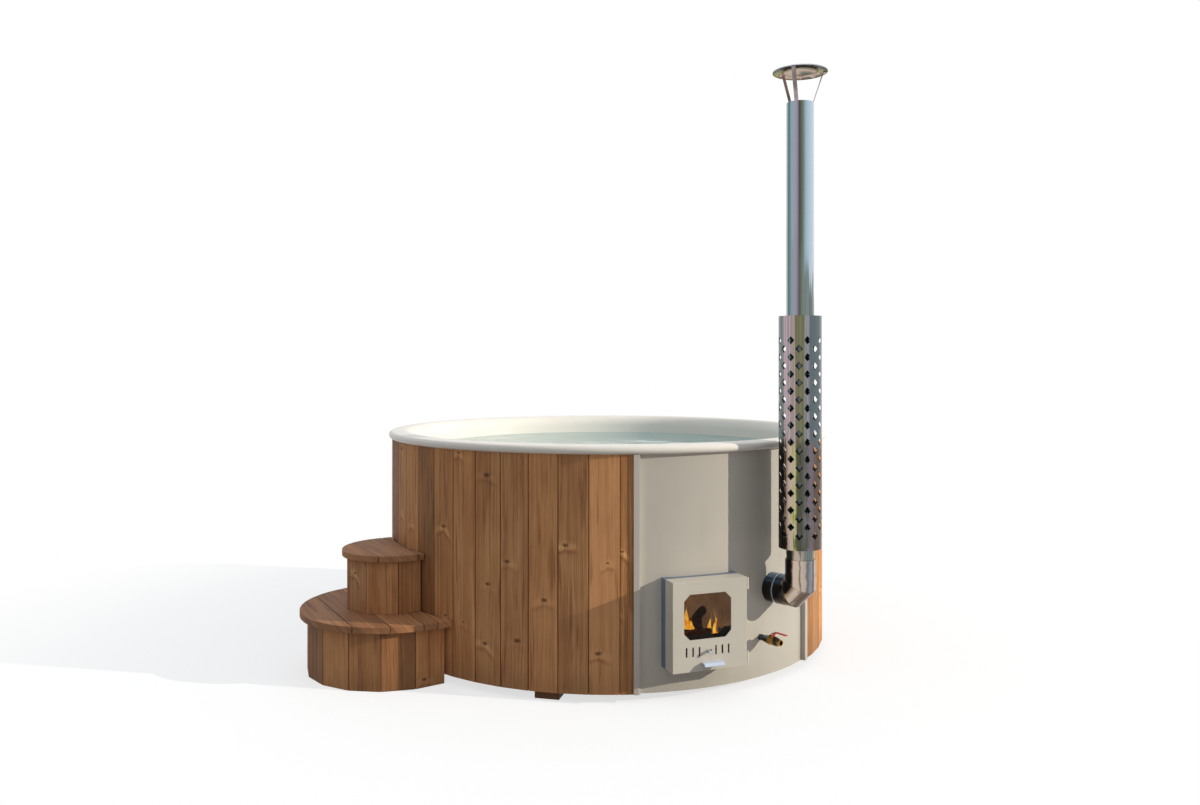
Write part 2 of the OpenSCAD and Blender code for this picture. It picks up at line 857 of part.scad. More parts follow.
module fire_grate() {
    front = boiler_front - cavity_in - grate_leg_w;
    back = front - grate_l;
    top = cavity_z + grate_up;
    gap = (grate_w - 2 * grate_leg_w - bar_count * bar_w) / (bar_count + 1);
    color("#3a3a3a")
        at(door_bearing)
            union() {
                difference() {
                    block(-grate_w / 2, grate_w / 2, back, front, top - grate_t, top);
                    for (i = [0 : bar_count]) {
                        x = grate_leg_w - grate_w / 2 + i * (bar_w + gap);
                        block(x, x + gap, back + grate_leg_w, front - grate_leg_w,
                            top - grate_t - over, top + over);
                    }
                }
                for (x = [-grate_w / 2, grate_w / 2 - grate_leg_w])
                    for (d = [back, front - grate_leg_w])
                        block(x, x + grate_leg_w, d, d + grate_leg_w, cavity_z, top - grate_t / 2);
            }
}

module ash_pan() {
    half = grate_w / 2 - grate_leg_w - over;
    front = boiler_front - cavity_in - 2 * grate_leg_w;
    back = front - grate_l + 2 * grate_leg_w + over;
    color("#555555")
        at(door_bearing)
            difference() {
                block(-half, half, back, front, cavity_z, cavity_z + ash_pan_h);
                block(ash_pan_t - half, half - ash_pan_t, back + ash_pan_t, front - ash_pan_t,
                    cavity_z + ash_pan_t, cavity_z + ash_pan_h + over);
            }
}

module door_frame() {
    w = door_w / 2;
    color("#5d6670")
        difference() {
            at(door_bearing)
                difference() {
                    block(-w, w, panel_r - door_depth, frame_face, door_z, door_z + door_h);
                    block(door_t - w, w - door_t, panel_r - 2 * door_depth, frame_face - door_t,
                        door_z + door_t, door_z + door_h - door_t);
                }
            translate([0, 0, door_z - over])
                cylinder(r = panel_r + fit, h = door_h + 2 * over, $fn = 360);
            mouth(plate_t + fit, panel_r - door_depth, frame_face + over);
        }
}

module hinge_barrel(z0, z1) {
    at(door_bearing)
        difference() {
            union() {
                translate([hinge_x, -hinge_d, z0])
                    cylinder(r = barrel_r, h = z1 - z0);
                children();
            }
            translate([hinge_x, -hinge_d, z0 - over])
                cylinder(r = pin_r + run_fit, h = z1 - z0 + 2 * over);
        }
}

// Lower barrels on arms that reach forward from the frame's side
module frame_hinge_barrels() {
    x = hinge_x - barrel_r;
    foot = frame_face - hinge_foot_in;
    color("#6b7078")
        for (z = hinge_zs) {
            z0 = z - barrel_l / 2;
            z1 = z - fit;
            hinge_barrel(z0, z1) {
                block(x, x + hinge_arm_t, foot, hinge_d, z0, z1);
                block(door_w / 2, x + hinge_arm_t, foot, foot + hinge_foot, z0, z1);
            }
        }
}

module hinge_pins() {
    color("silver")
        at(door_bearing)
            for (z = hinge_zs)
                translate([hinge_x, -hinge_d, z - barrel_l / 2])
                    cylinder(r = pin_r, h = barrel_l - pin_r);
}

module flue_spigot() {
    d0 = boiler_front - fire_in - plate_t;
    color("silver")
        at(flue_bearing)
            difference() {
                rod(pipe_r, d0, elbow_start + throat, flue_z);
                rod(pipe_r - pipe_wall, d0 - over, elbow_start + throat + over, flue_z);
            }
}

module flue_collar() {
    color("#2b3138")
        at(flue_bearing)
            difference() {
                rod(collar_r, panel_r - collar_tail, elbow_start - fit, flue_z);
                rod(collar_r - collar_wall, panel_r - collar_tail - over,
                    elbow_start - fit - collar_wall, flue_z);
                rod(socket_r, panel_r, elbow_start + over, flue_z);
            }
}

module flue_band() {
    d = panel_r + band_out;
    color("gainsboro")
        at(flue_bearing)
            difference() {
                rod(collar_r + fit + band_t, d - band_w / 2, d + band_w / 2, flue_z);
                rod(collar_r + fit, d - band_w, d + band_w, flue_z);
            }
}

module tube(r0, r1, h) {
    difference() {
        cylinder(r = r1, h = h);
        translate([0, 0, -over])
            cylinder(r = r0, h = h + 2 * over);
    }
}

// Half space beside a mitre plane
module mitre_side(d, z, tilt, y, up) {
    translate([0, -d, z])
        rotate([tilt, 0, 0])
            translate([-far / 2, y, up])
                cube([far, far, far]);
}

// Three mitred sections: out of the panel, half way up, and up the chimney
module flue_elbow() {
    half = fit / 2;
    color("lightsteelblue")
        at(flue_bearing) {
            intersection() {
                translate([0, -elbow_start, flue_z])
                    rotate([90, 0, 0])
                        tube(socket_r, elbow_r, chimney_d - elbow_start);
                mitre_side(elbow_in, flue_z, -22.5, half, -far / 2);
            }
            intersection() {
                translate([0, -elbow_in, flue_z])
                    rotate([45, 0, 0])
                        translate([0, 0, -elbow_r])
                            tube(socket_r, elbow_r, middle_leg + 3 * elbow_r);
                mitre_side(elbow_in, flue_z, -22.5, -far - half, -far / 2);
                mitre_side(chimney_d, elbow_up, 22.5, -far / 2, -far - half);
            }
            intersection() {
                translate([0, -chimney_d, flue_z])
                    tube(socket_r, elbow_r, elbow_top - flue_z);
                mitre_side(chimney_d, elbow_up, 22.5, -far / 2, half);
            }
        }
}

module at_chimney() {
    at(flue_bearing, chimney_d)
        rotate([0, 0, -flue_bearing])
            children();
}

module flue_pipe() {
    color("lightsteelblue")
        at_chimney()
            translate([0, 0, pipe_foot])
                tube(pipe_r - pipe_wall, pipe_r, pipe_top - pipe_foot);
}

// One diamond, cut through one side of the shield's wall
module diamond(a, z) {
    at(a)
        translate([0, over - shield_r, z])
            rotate([90, 0, 0])
                linear_extrude(2 * over)
                    polygon([
                        [-diamond_w / 2, 0], [0, -diamond_h / 2], [diamond_w / 2, 0], [0, diamond_h / 2]
                    ]);
}

module heat_shield() {
    turn_step = 360 / diamond_columns;
    first = shield_z + shield_h - diamond_top;
    color("lightgray")
        at_chimney()
            difference() {
                translate([0, 0, shield_z])
                    tube(shield_r - shield_wall, shield_r, shield_h);
                for (c = [0 : diamond_columns - 1])
                    for (i = [0 : diamond_rows - 1])
                        diamond(c * turn_step, first - (i + (c + 1) % 2 / 2) * diamond_pitch);
            }
}

module shield_spacers() {
    d0 = pipe_r + fit / 2;
    d1 = shield_r - shield_wall - fit;
    color("silver")
        at_chimney()
            for (z = [shield_z + spacer_in, shield_z + shield_h - spacer_in])
                for (a = strap_bearings)
                    at(a)
                        block(-cap_t / 2, cap_t / 2, d0, d1, z - spacer_h / 2, z + spacer_h / 2);
}

module cap_straps() {
    bore = pipe_r - pipe_wall - fit;
    foot = sqrt(bore * bore - strap_w * strap_w / 4) - strap_t;
    head = cap_r - strap_w;
    end = sqrt(pow(cap_r - cap_t - fit, 2) - strap_w * strap_w / 4);
    top = cap_z - fit;
    color("silver")
        at_chimney()
            for (a = strap_bearings)
                at(a)
                    translate([-strap_w / 2, 0, 0])
                        rotate([90, 0, 90])
                            linear_extrude(strap_w)
                                polygon([
                                    [-foot, pipe_top - strap_foot], [-foot, pipe_top],
                                    [-head, top], [-end, top], [-end, top - strap_t],
                                    [-head - strap_t, top - strap_t],
                                    [-foot - strap_t, pipe_top], [-foot - strap_t, pipe_top - strap_foot]
                                ]);
}

module chimney_cap() {
    ring_r = cap_r * cap_ring_share;
    top = cap_z + cap_rise;
    ring_z = cap_z + cap_rise * 0.2;
    color("silver")
        at_chimney()
            rotate_extrude()
                polygon([
                    [0, top], [ring_r, top - cap_rise * 0.3], [cap_r - cap_t, cap_z + cap_t],
                    [cap_r, cap_z + cap_t / 2], [cap_r, cap_z - cap_t], [cap_r - cap_t, cap_z - cap_t],
                    [cap_r - cap_t, cap_z], [ring_r + 2 * cap_t, ring_z], [ring_r + cap_t, cap_z - cap_t],
                    [ring_r, cap_z - cap_t], [ring_r - cap_t, ring_z + cap_t], [0, top - cap_t]
                ]);
}

module drain_nipple() {
    color("#3b4046")
        at(drain_bearing)
            difference() {
                rod(drain_r, nipple_in, nipple_end, drain_z);
                rod(water_r, nipple_in - over, nipple_end + over, drain_z);
            }
}

module drain_reducer() {
    color("#34383c")
        at(drain_bearing)
            difference() {
                rod(drain_r + sheet_t, reducer_start, reducer_end, drain_z, valve_r);
                rod(drain_r + run_fit, reducer_start - over, nipple_end, drain_z);
                rod(water_r, reducer_start, reducer_end + over, drain_z);
            }
}

module hexagon(d0, d1, flats) {
    translate([0, -d0, drain_z])
        rotate([90, 0, 0])
            rotate([0, 0, 30])
                cylinder(r = flats / 2 / cos(30), h = d1 - d0, $fn = 6);
}

module valve_body() {
    color("#8a6d34")
        at(drain_bearing)
            difference() {
                union() {
                    hexagon(reducer_end, reducer_end + hex_l, valve_flats);
                    rod(valve_r, reducer_end, valve_end, drain_z);
                    hexagon(valve_end - hex_l, valve_end, valve_flats);
                    translate([0, -ball_d, drain_z])
                        cylinder(r = 2 * stem_r, h = valve_r + boss_h);
                }
                rod(water_r, reducer_end - over, valve_end + over, drain_z);
                translate([0, -ball_d, drain_z])
                    sphere(r = ball_r + fit);
                translate([0, -ball_d, drain_z])
                    cylinder(r = stem_r + run_fit, h = valve_r + boss_h + over);
            }
}

module valve_nut() {
    color("#1d1f21")
        at(drain_bearing)
            difference() {
                hexagon(valve_end, nut_end, 2 * nut_r);
                rod(water_r, valve_end - over, nut_end + over, drain_z);
            }
}

module valve_outlet() {
    color("#b98a3c")
        at(drain_bearing)
            difference() {
                rod(outlet_r, nut_end, outlet_end, drain_z);
                rod(thread_r, outlet_end - thread_l, outlet_end + over, drain_z);
                rod(water_r, nut_end - over, outlet_end, drain_z);
            }
}

module valve_ball() {
    color("silver")
        at(drain_bearing)
            translate([0, -ball_d, drain_z])
                rotate([90, 0, 0])
                    rotate_extrude()
                        intersection() {
                            circle(r = ball_r);
                            translate([water_r, -ball_r])
                                square([ball_r, 2 * ball_r]);
                        }
}

module valve_stem() {
    color("#a8874a")
        at(drain_bearing, ball_d)
            translate([0, 0, drain_z + ball_r])
                cylinder(r = stem_r, h = stem_top - drain_z - ball_r);
}

module valve_lever() {
    back = lever_w / 2;
    rise = lever_rise;
    color("#c8102e")
        at(drain_bearing, ball_d)
            difference() {
                translate([-lever_w / 2, 0, lever_z])
                    rotate([90, 0, 90])
                        linear_extrude(lever_w)
                            polygon([
                                [back, 0], [back, lever_t], [-back, lever_t],
                                [-back - rise / 2, rise + lever_t], [-lever_l, rise + lever_t],
                                [-lever_l, rise], [-lever_t - back - rise / 2, rise], [-lever_t - back, 0]
                            ]);
                translate([0, 0, lever_z - over])
                    cylinder(r = stem_r + run_fit, h = lever_t + 2 * over);
            }
}

module lever_nut() {
    color("gainsboro")
        at(drain_bearing, ball_d)
            translate([0, 0, lever_z + lever_t])
                difference() {
                    cylinder(r = lever_w / 2, h = lever_t, $fn = 6);
                    translate([0, 0, -over])
                        cylinder(r = stem_r + run_fit, h = lever_t + 2 * over);
                }
}

// Everything of the step that lies outside the tub, with the gap kept
module clear_of_tub() {
    at(step_bearing, step_r)
        difference() {
            children();
            translate([0, step_r, -over])
                cylinder(r = tub_r + step_gap, h = upper_top + 2 * over, $fn = 360);
        }
}

// Drum of upright boards, set both ways from a joint in front as far as the tub
module drum(r, z0, z1) {
    g = riser_gap / 2;
    half = drum_half(r);
    boards = ceil(drum_end(r) / (2 * half) - sliver_share);
    for (i = [-boards : boards - 1]) {
        a = (2 * i + 1) * half;
        right = turned([[-g, -r], [-g, riser_t - r]], a + half);
        left = turned([[g, riser_t - r], [g, -r]], a - half);
        translate([0, 0, z0])
            linear_extrude(z1 - z0)
                polygon(concat(right, left));
    }
}

module step_lower_risers() {
    color("#9a6d49")
        clear_of_tub()
            drum(lower_r, 0, lower_tread_z);
}

module step_upper_risers() {
    color("#8b6041")
        clear_of_tub()
            drum(upper_r, lower_top, upper_tread_z);
}

// Half ring of plywood inside a drum
module rib(r, z) {
    outer = (r - riser_t) * cos(drum_half(r)) - fit;
    sector(outer - rib_w, outer, z, z + riser_t, -90, 90);
}

module step_ribs() {
    color("burlywood")
        at(step_bearing, step_r) {
            rib(lower_r, riser_t);
            rib(lower_r, lower_tread_z - riser_t);
            rib(upper_r, lower_top);
            rib(upper_r, upper_tread_z - riser_t);
        }
}

// Tread of boards that run across the step, cut to the drum's outline
module tread(r, z, joints) {
    g = riser_gap / 2;
    for (i = [0 : len(joints) - 2])
        intersection() {
            translate([-r - over, joints[i] + g, z])
                cube([2 * (r + over), joints[i + 1] - joints[i] - 2 * g, tread_t]);
            union() {
                translate([0, 0, z])
                    cylinder(r = r, h = tread_t, $fn = 180);
                translate([-r, 0, z])
                    cube([2 * r, r, tread_t]);
            }
        }
}

module step_lower_tread() {
    r = lower_r + lower_over;
    w = lower_board;
    j = -lower_joint;
    color("#8f6446")
        clear_of_tub()
            tread(r, lower_tread_z, [-r - over, j - 2 * w, j - w, j, j + ripped_board, r]);
}

module step_upper_tread() {
    r = upper_r + upper_over;
    j = upper_joint;
    color("#84593d")
        clear_of_tub()
            rotate([0, 0, upper_turn])
                tread(r, upper_tread_z, [-r - over, j - upper_board, j, r]);
}

module window_cutter(w, h, cut, z, d0, d1) {
    x = w / 2;
    translate([window_shift, -d0, z])
        rotate([90, 0, 0])
            linear_extrude(d1 - d0)
                polygon([
                    [cut - x, 0], [x - cut, 0], [x, cut], [x, h - cut],
                    [x - cut, h], [cut - x, h], [-x, h - cut], [-x, cut]
                ]);
}

module air_slots(d0, d1) {
    for (x = slot_xs)
        block(x - slot_w / 2, x + slot_w / 2, d0, d1, slot_z, slot_z + slot_h);
}

module door_pan() {
    w = door_w / 2;
    stem = knob_stem_r + fit;
    color("#cfc8ba")
        at(door_bearing)
            difference() {
                block(-w, w, door_back, door_face, door_z, door_z + door_h);
                block(door_t - w, w - door_t, door_back - over, sheet_back,
                    door_z + door_t, door_z + door_h - door_t);
                window_cutter(window_w, window_h, window_cut, window_z, sheet_back - over, door_face + over);
                air_slots(sheet_back - over, door_face + over);
                block(window_shift - stem, window_shift + slide_travel + stem, sheet_back - over,
                    door_face + over, knob_z - stem, knob_z + stem);
            }
}

module door_inner_plate() {
    w = door_w / 2 - door_t - fit;
    margin = door_t + fit;
    color("#8d8d88")
        at(door_bearing)
            difference() {
                block(-w, w, plate_face, plate_face + door_t, door_z + margin, door_z + door_h - margin);
                window_cutter(window_w, window_h, window_cut, window_z, plate_face - over,
                    plate_face + door_t + over);
                block(window_shift - slide_w / 2, window_shift + slide_w / 2, plate_face - over,
                    plate_face + door_t + over, slot_z, slot_z + slot_h);
            }
}

module door_glass() {
    color([0.35, 0.28, 0.22, 0.4])
        at(door_bearing)
            block(window_shift - glass_w / 2, window_shift + glass_w / 2, glass_back, sheet_back - fit,
                glass_z, glass_z + glass_h);
}

module glass_clips() {
    t = guide_t;
    tongue = glass_back - fit;
    color("silver")
        at(door_bearing)
            for (s = [-1, 1])
                for (share = [0.15, 0.75])
                    translate([window_shift + s * glass_w / 2, 0, glass_z + glass_h * share])
                        scale([s, 1, 1])
                            linear_extrude(glass_h / 10)
                                polygon([
                                    [fit, -sheet_back], [glass_lap, -sheet_back],
                                    [glass_lap, t - sheet_back], [fit + t, t - sheet_back],
                                    [fit + t, t - tongue], [-glass_lap / 2, t - tongue],
                                    [-glass_lap / 2, -tongue], [fit, -tongue]
                                ]);
}

module door_seal() {
    d0 = frame_face + 2 * fit;
    d1 = plate_face - fit;
    color("#d8d4c8")
        difference() {
            mouth(plate_t + seal_w, d0, d1);
            mouth(plate_t + fit, d0 - over, d1 + over);
        }
}

module door_pull() {
    t = door_t;
    z = door_z + pull_up;
    lip = pull_out / 3;
    color("#d6dbe0")
        at(door_bearing)
            translate([pull_shift - pull_w / 2, 0, z])
                rotate([90, 0, 90])
                    linear_extrude(pull_w)
                        polygon([
                            [-door_face, 0], [-door_face, t], [lip - door_face - pull_out, t],
                            [-door_face - pull_out, t - pull_drop], [-door_face - pull_out, -pull_drop],
                            [lip - door_face - pull_out, 0]
                        ]);
}

module door_hinge_barrels() {
    color("#6b7078")
        for (z = hinge_zs)
            hinge_barrel(z, z + barrel_l / 2)
                block(door_w / 2, hinge_x, hinge_d - barrel_r / 2, hinge_d + barrel_r / 2,
                    z, z + barrel_l / 2);
}

module slide_guides() {
    t = guide_t;
    back = sheet_back - slide_t - 2 * fit;
    z0 = slot_z - slide_lap - fit;
    z1 = slot_z + slot_h + slide_lap + fit;
    half = slide_w / 2 + slide_travel;
    color("silver")
        at(door_bearing)
            translate([window_shift, 0, 0]) {
                union() {
                    block(-half, half, back, sheet_back, z0 - t, z0);
                    block(-half, half, back - t, back, z0 - t, z0 + guide_lap);
                }
                union() {
                    block(-half, half, back, sheet_back, z1, z1 + t);
                    block(-half, half, back - t, back, z1 - guide_lap, z1 + t);
                }
            }
}

module air_slide_plate() {
    color("#77787a")
        at(door_bearing)
            difference() {
                block(window_shift - slide_w / 2, window_shift + slide_w / 2, sheet_back - fit - slide_t,
                    sheet_back - fit, slot_z - slide_lap, slot_z - slide_lap + slide_h);
                air_slots(sheet_back - 2 * slide_t - over, sheet_back + over);
            }
}

module air_knob() {
    head = door_face + fit;
    color("#9aa0a6")
        at(door_bearing)
            translate([window_shift, fit - sheet_back, knob_z])
                rotate([90, 0, 0])
                    rotate_extrude($fn = 48)
                        polygon([
                            [0, 0], [knob_stem_r, 0], [knob_stem_r, head - sheet_back + fit],
                            [knob_r - 2 * fit, head - sheet_back + fit],
                            [knob_r, head - sheet_back + 3 * fit],
                            [knob_r, head - sheet_back + knob_l - knob_r / 2],
                            [knob_r / 2, head - sheet_back + knob_l],
                            [0, head - sheet_back + knob_l]
                        ]);
}

base_beam_centre();
base_beams_side();
base_deck();
floor_joists();
bench_posts();
frame_posts();
ring_middle();
ring_upper();
cladding_left();
cladding_rear_left();
cladding_rear();
cladding_rear_right();
cladding_right();
cladding_edge_strips();
front_panel();
tub_liner();
circulation_pipes();
circulation_grilles();
boiler_jacket();
boiler_bearers();
firebox_shell();
smoke_baffle();
fire_grate();
ash_pan();
door_frame();
frame_hinge_barrels();
hinge_pins();
flue_spigot();
flue_collar();
flue_band();
flue_elbow();
flue_pipe();
heat_shield();
shield_spacers();
cap_straps();
chimney_cap();
drain_nipple();
drain_reducer();
valve_body();
valve_nut();
valve_outlet();
step_lower_risers();
step_upper_risers();
step_ribs();
step_lower_tread();
step_upper_tread();
door_pan();
door_inner_plate();
door_glass();
glass_clips();
door_seal();
door_pull();
door_hinge_barrels();
slide_guides();
air_slide_plate();
air_knob();
valve_ball();
valve_stem();
valve_lever();
lever_nut();
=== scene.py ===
import json
import math

import bmesh
import bpy
from mathutils import Matrix, Vector, noise


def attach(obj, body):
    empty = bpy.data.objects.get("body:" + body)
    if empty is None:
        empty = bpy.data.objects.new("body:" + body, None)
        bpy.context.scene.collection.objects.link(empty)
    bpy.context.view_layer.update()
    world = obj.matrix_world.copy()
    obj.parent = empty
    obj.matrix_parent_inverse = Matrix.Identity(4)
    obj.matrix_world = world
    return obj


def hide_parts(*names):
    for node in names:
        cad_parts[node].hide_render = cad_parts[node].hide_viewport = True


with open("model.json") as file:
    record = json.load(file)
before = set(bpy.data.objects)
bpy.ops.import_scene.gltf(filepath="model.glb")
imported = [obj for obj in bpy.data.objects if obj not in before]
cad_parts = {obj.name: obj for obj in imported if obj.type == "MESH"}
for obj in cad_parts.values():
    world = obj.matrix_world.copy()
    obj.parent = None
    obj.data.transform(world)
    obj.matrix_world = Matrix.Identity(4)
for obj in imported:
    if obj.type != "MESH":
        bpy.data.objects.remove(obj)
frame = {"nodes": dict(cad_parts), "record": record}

NODES = frame["nodes"]
BODY = {n: b for b, ns in frame["record"]["behaviour"]["bodies"].items() for n in ns}
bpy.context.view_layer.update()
rad = math.radians


def lin(r, g, b):
    """A colour from sRGB steps of 0 to 255, in Blender's linear values."""
    out = []
    for v in (r, g, b):
        v /= 255
        out.append(v / 12.92 if v <= 0.04045 else ((v + 0.055) / 1.055) ** 2.4)
    return (*out, 1.0)


def spot(bearing, r, x=0.0, z=0.0):
    """A point at a bearing and distance from the tub's axis, x to the right."""
    a = rad(bearing)
    return Vector((r * math.sin(a) + x * math.cos(a), -r * math.cos(a) + x * math.sin(a), z))


# Bearings in degrees, and the axes of chimney and step
DOOR, FLUE, STEP, BEAMS = -10.2, 10.7, -91.0, -44.6
CHIMNEY = spot(FLUE, 1.128)
STEP_AT = spot(STEP, 1.038)
# Boards: where the tub's begin beside the panel, their pitch, and the step's width and radii
FIRST_BOARD = rad(24) + 0.075
BOARD_PITCH = rad(6.71179)
STEP_BOARD, LOWER_R, UPPER_R = 0.132, 0.358, 0.202
TUB_R = 1.0
# Underside of the boards, and the water's level and radius
BOARD_FOOT = 0.033
WATER_Z, WATER_R = 0.877, 0.8829
# The grate's top, in millimetres
GRATE = 195


# Materials
class Graph:
    """The node tree of a material or of the world, with short calls for the nodes used here."""

    def __init__(self, name, world=False):
        self.owner = (bpy.data.worlds if world else bpy.data.materials).new(name)
        self.owner.use_nodes = True
        self.tree = self.owner.node_tree
        self.tree.nodes.clear()
        self.out = self.add("OutputWorld" if world else "OutputMaterial")

    def put(self, socket, value):
        """Links another socket to a socket, or sets a constant on it."""
        if isinstance(value, bpy.types.NodeSocket):
            self.tree.links.new(value, socket)
        else:
            socket.default_value = value

    def add(self, kind, props=None, **inputs):
        node = self.tree.nodes.new("ShaderNode" + kind)
        for k, v in (props or {}).items():
            setattr(node, k, v)
        for k, v in inputs.items():
            self.put(node.inputs[k.replace("_", " ")], v)
        return node

    def math(self, op, a, b=0.0, clamp=False):
        node = self.add("Math", {"operation": op, "use_clamp": clamp})
        self.put(node.inputs[0], a)
        self.put(node.inputs[1], b)
        return node.outputs[0]

    def sum(self, *terms):
        total = terms[0]
        for t in terms[1:]:
            total = self.math("ADD", total, t)
        return total

    def less(self, a, b):
        return self.math("SUBTRACT", a, b)

    def mul(self, a, b):
        return self.math("MULTIPLY", a, b)

    def over(self, a, b):
        return self.math("DIVIDE", a, b)

    def squares(self, *parts):
        return self.sum(*(self.math("POWER", p, 2.0) for p in parts))

    def length(self, *parts):
        return self.math("SQRT", self.squares(*parts))

    def bell(self, *parts):
        """1 where the parts are nought, and falling to nought round there."""
        return self.math("EXPONENT", self.mul(self.squares(*parts), -1.0))

    def swing(self, v, k):
        """A value of 0 to 1, taken from its middle and times k."""
        return self.mul(self.less(v, 0.5), k)

    def span(self, v, lo, hi, out_lo=0.0, out_hi=1.0, smooth=True):
        """Maps lo to hi on to out_lo to out_hi, and holds still beyond them."""
        node = self.add("MapRange", {"interpolation_type": "SMOOTHSTEP" if smooth else "LINEAR"})
        for i, x in enumerate((v, lo, hi, out_lo, out_hi)):
            self.put(node.inputs[i], x)
        return node.outputs[0]

    def vec(self, x=0.0, y=0.0, z=0.0):
        return self.add("CombineXYZ", X=x, Y=y, Z=z).outputs[0]

    def place(self, location=(0, 0, 0), angle=0.0):
        """Object coordinates seen from a point and turned, as three numbers."""
        at = Vector(location)
        turn = Matrix.Rotation(-angle, 3, "Z")
        coords = self.add("TexCoord").outputs["Object"]
        m = self.add("Mapping", Vector=coords, Location=tuple(turn @ -at), Rotation=(0, 0, -angle))
        return tuple(self.add("SeparateXYZ", Vector=m.outputs[0]).outputs)

    def facing(self):
        """The surface's normal, as three numbers."""
        return self.add("SeparateXYZ", Vector=self.add("TexCoord").outputs["Normal"]).outputs

    def noise(self, vector, scale=1.0, detail=2.0, rough=0.5, distort=0.0):
        return self.add("TexNoise", Vector=vector, Scale=scale, Detail=detail, Roughness=rough,
                        Distortion=distort).outputs["Fac"]

    def field(self, p, scales, detail=2.0, rough=0.5, distort=0.0):
        """Noise over three numbers, each with a scale of its own."""
        return self.noise(self.vec(*map(self.mul, p, scales)), 1.0, detail, rough, distort)

    def chances(self, seed):
        """What a seed draws, from 0 to 1: one number, and three more."""
        node = self.add("TexWhiteNoise", {"noise_dimensions": "1D"}, W=seed)
        return node.outputs["Value"], self.add("SeparateColor", Color=node.outputs["Color"]).outputs

    def ramp(self, fac, stops):
        node = self.add("ValToRGB", Fac=fac)
        el = node.color_ramp.elements
        while len(el) < len(stops):
            el.new(0.5)
        for e, (p, c) in zip(el, stops):
            e.position, e.color = p, c
        return node.outputs[0]

    def mix(self, fac, a, b, mode="MIX"):
        node = self.add("Mix", {"data_type": "RGBA", "blend_type": mode})
        self.put(node.inputs[0], fac)
        self.put(node.inputs[6], a)
        self.put(node.inputs[7], b)
        return node.outputs[2]

    def shade(self, col, hue):
        return self.mix(1.0, col, (*hue, 1.0), "MULTIPLY")

    def bump(self, height, strength, distance):
        return self.add("Bump", Height=height, Strength=strength, Distance=distance).outputs[0]

    def blend(self, fac, a, b):
        """Two shaders: the first where fac is 0, the second where it is 1."""
        node = self.add("MixShader")
        for socket, value in zip(node.inputs, (fac, a, b)):
            self.put(socket, value)
        return node.outputs[0]

    def seen(self):
        """1 for rays from the camera, also by way of a mirror or of something clear."""
        path = self.add("LightPath").outputs
        direct = self.sum(path["Is Camera Ray"], path["Is Transmission Ray"])
        return self.math("ADD", direct, path["Is Glossy Ray"], clamp=True)

    def surface(self, shader):
        self.tree.links.new(shader, self.out.inputs[0])
        return self.owner

    def principled(self, **inputs):
        return self.surface(self.add("BsdfPrincipled", **inputs).outputs[0])


def angle_of(g, x, y):
    """Bearing in radians, from -Y towards +X."""
    return g.math("ARCTAN2", x, g.mul(y, -1.0))


# The length of board that holds one knot at most, the width knots are spread over, and half their size
CELL = 0.31
KNOT_SPREAD = 0.0638
KNOT_WIDE, KNOT_HIGH = 0.0105, 0.0062
# Casts of colour that some boards have: each comes in as a drawn number goes from one value to the next
BOARD_HUES = ((0.45, 0.85, (0.93, 0.80, 0.74)), (0.55, 0.90, (1.12, 1.08, 0.94)),
              (0.65, 0.90, (0.90, 0.94, 1.02)))


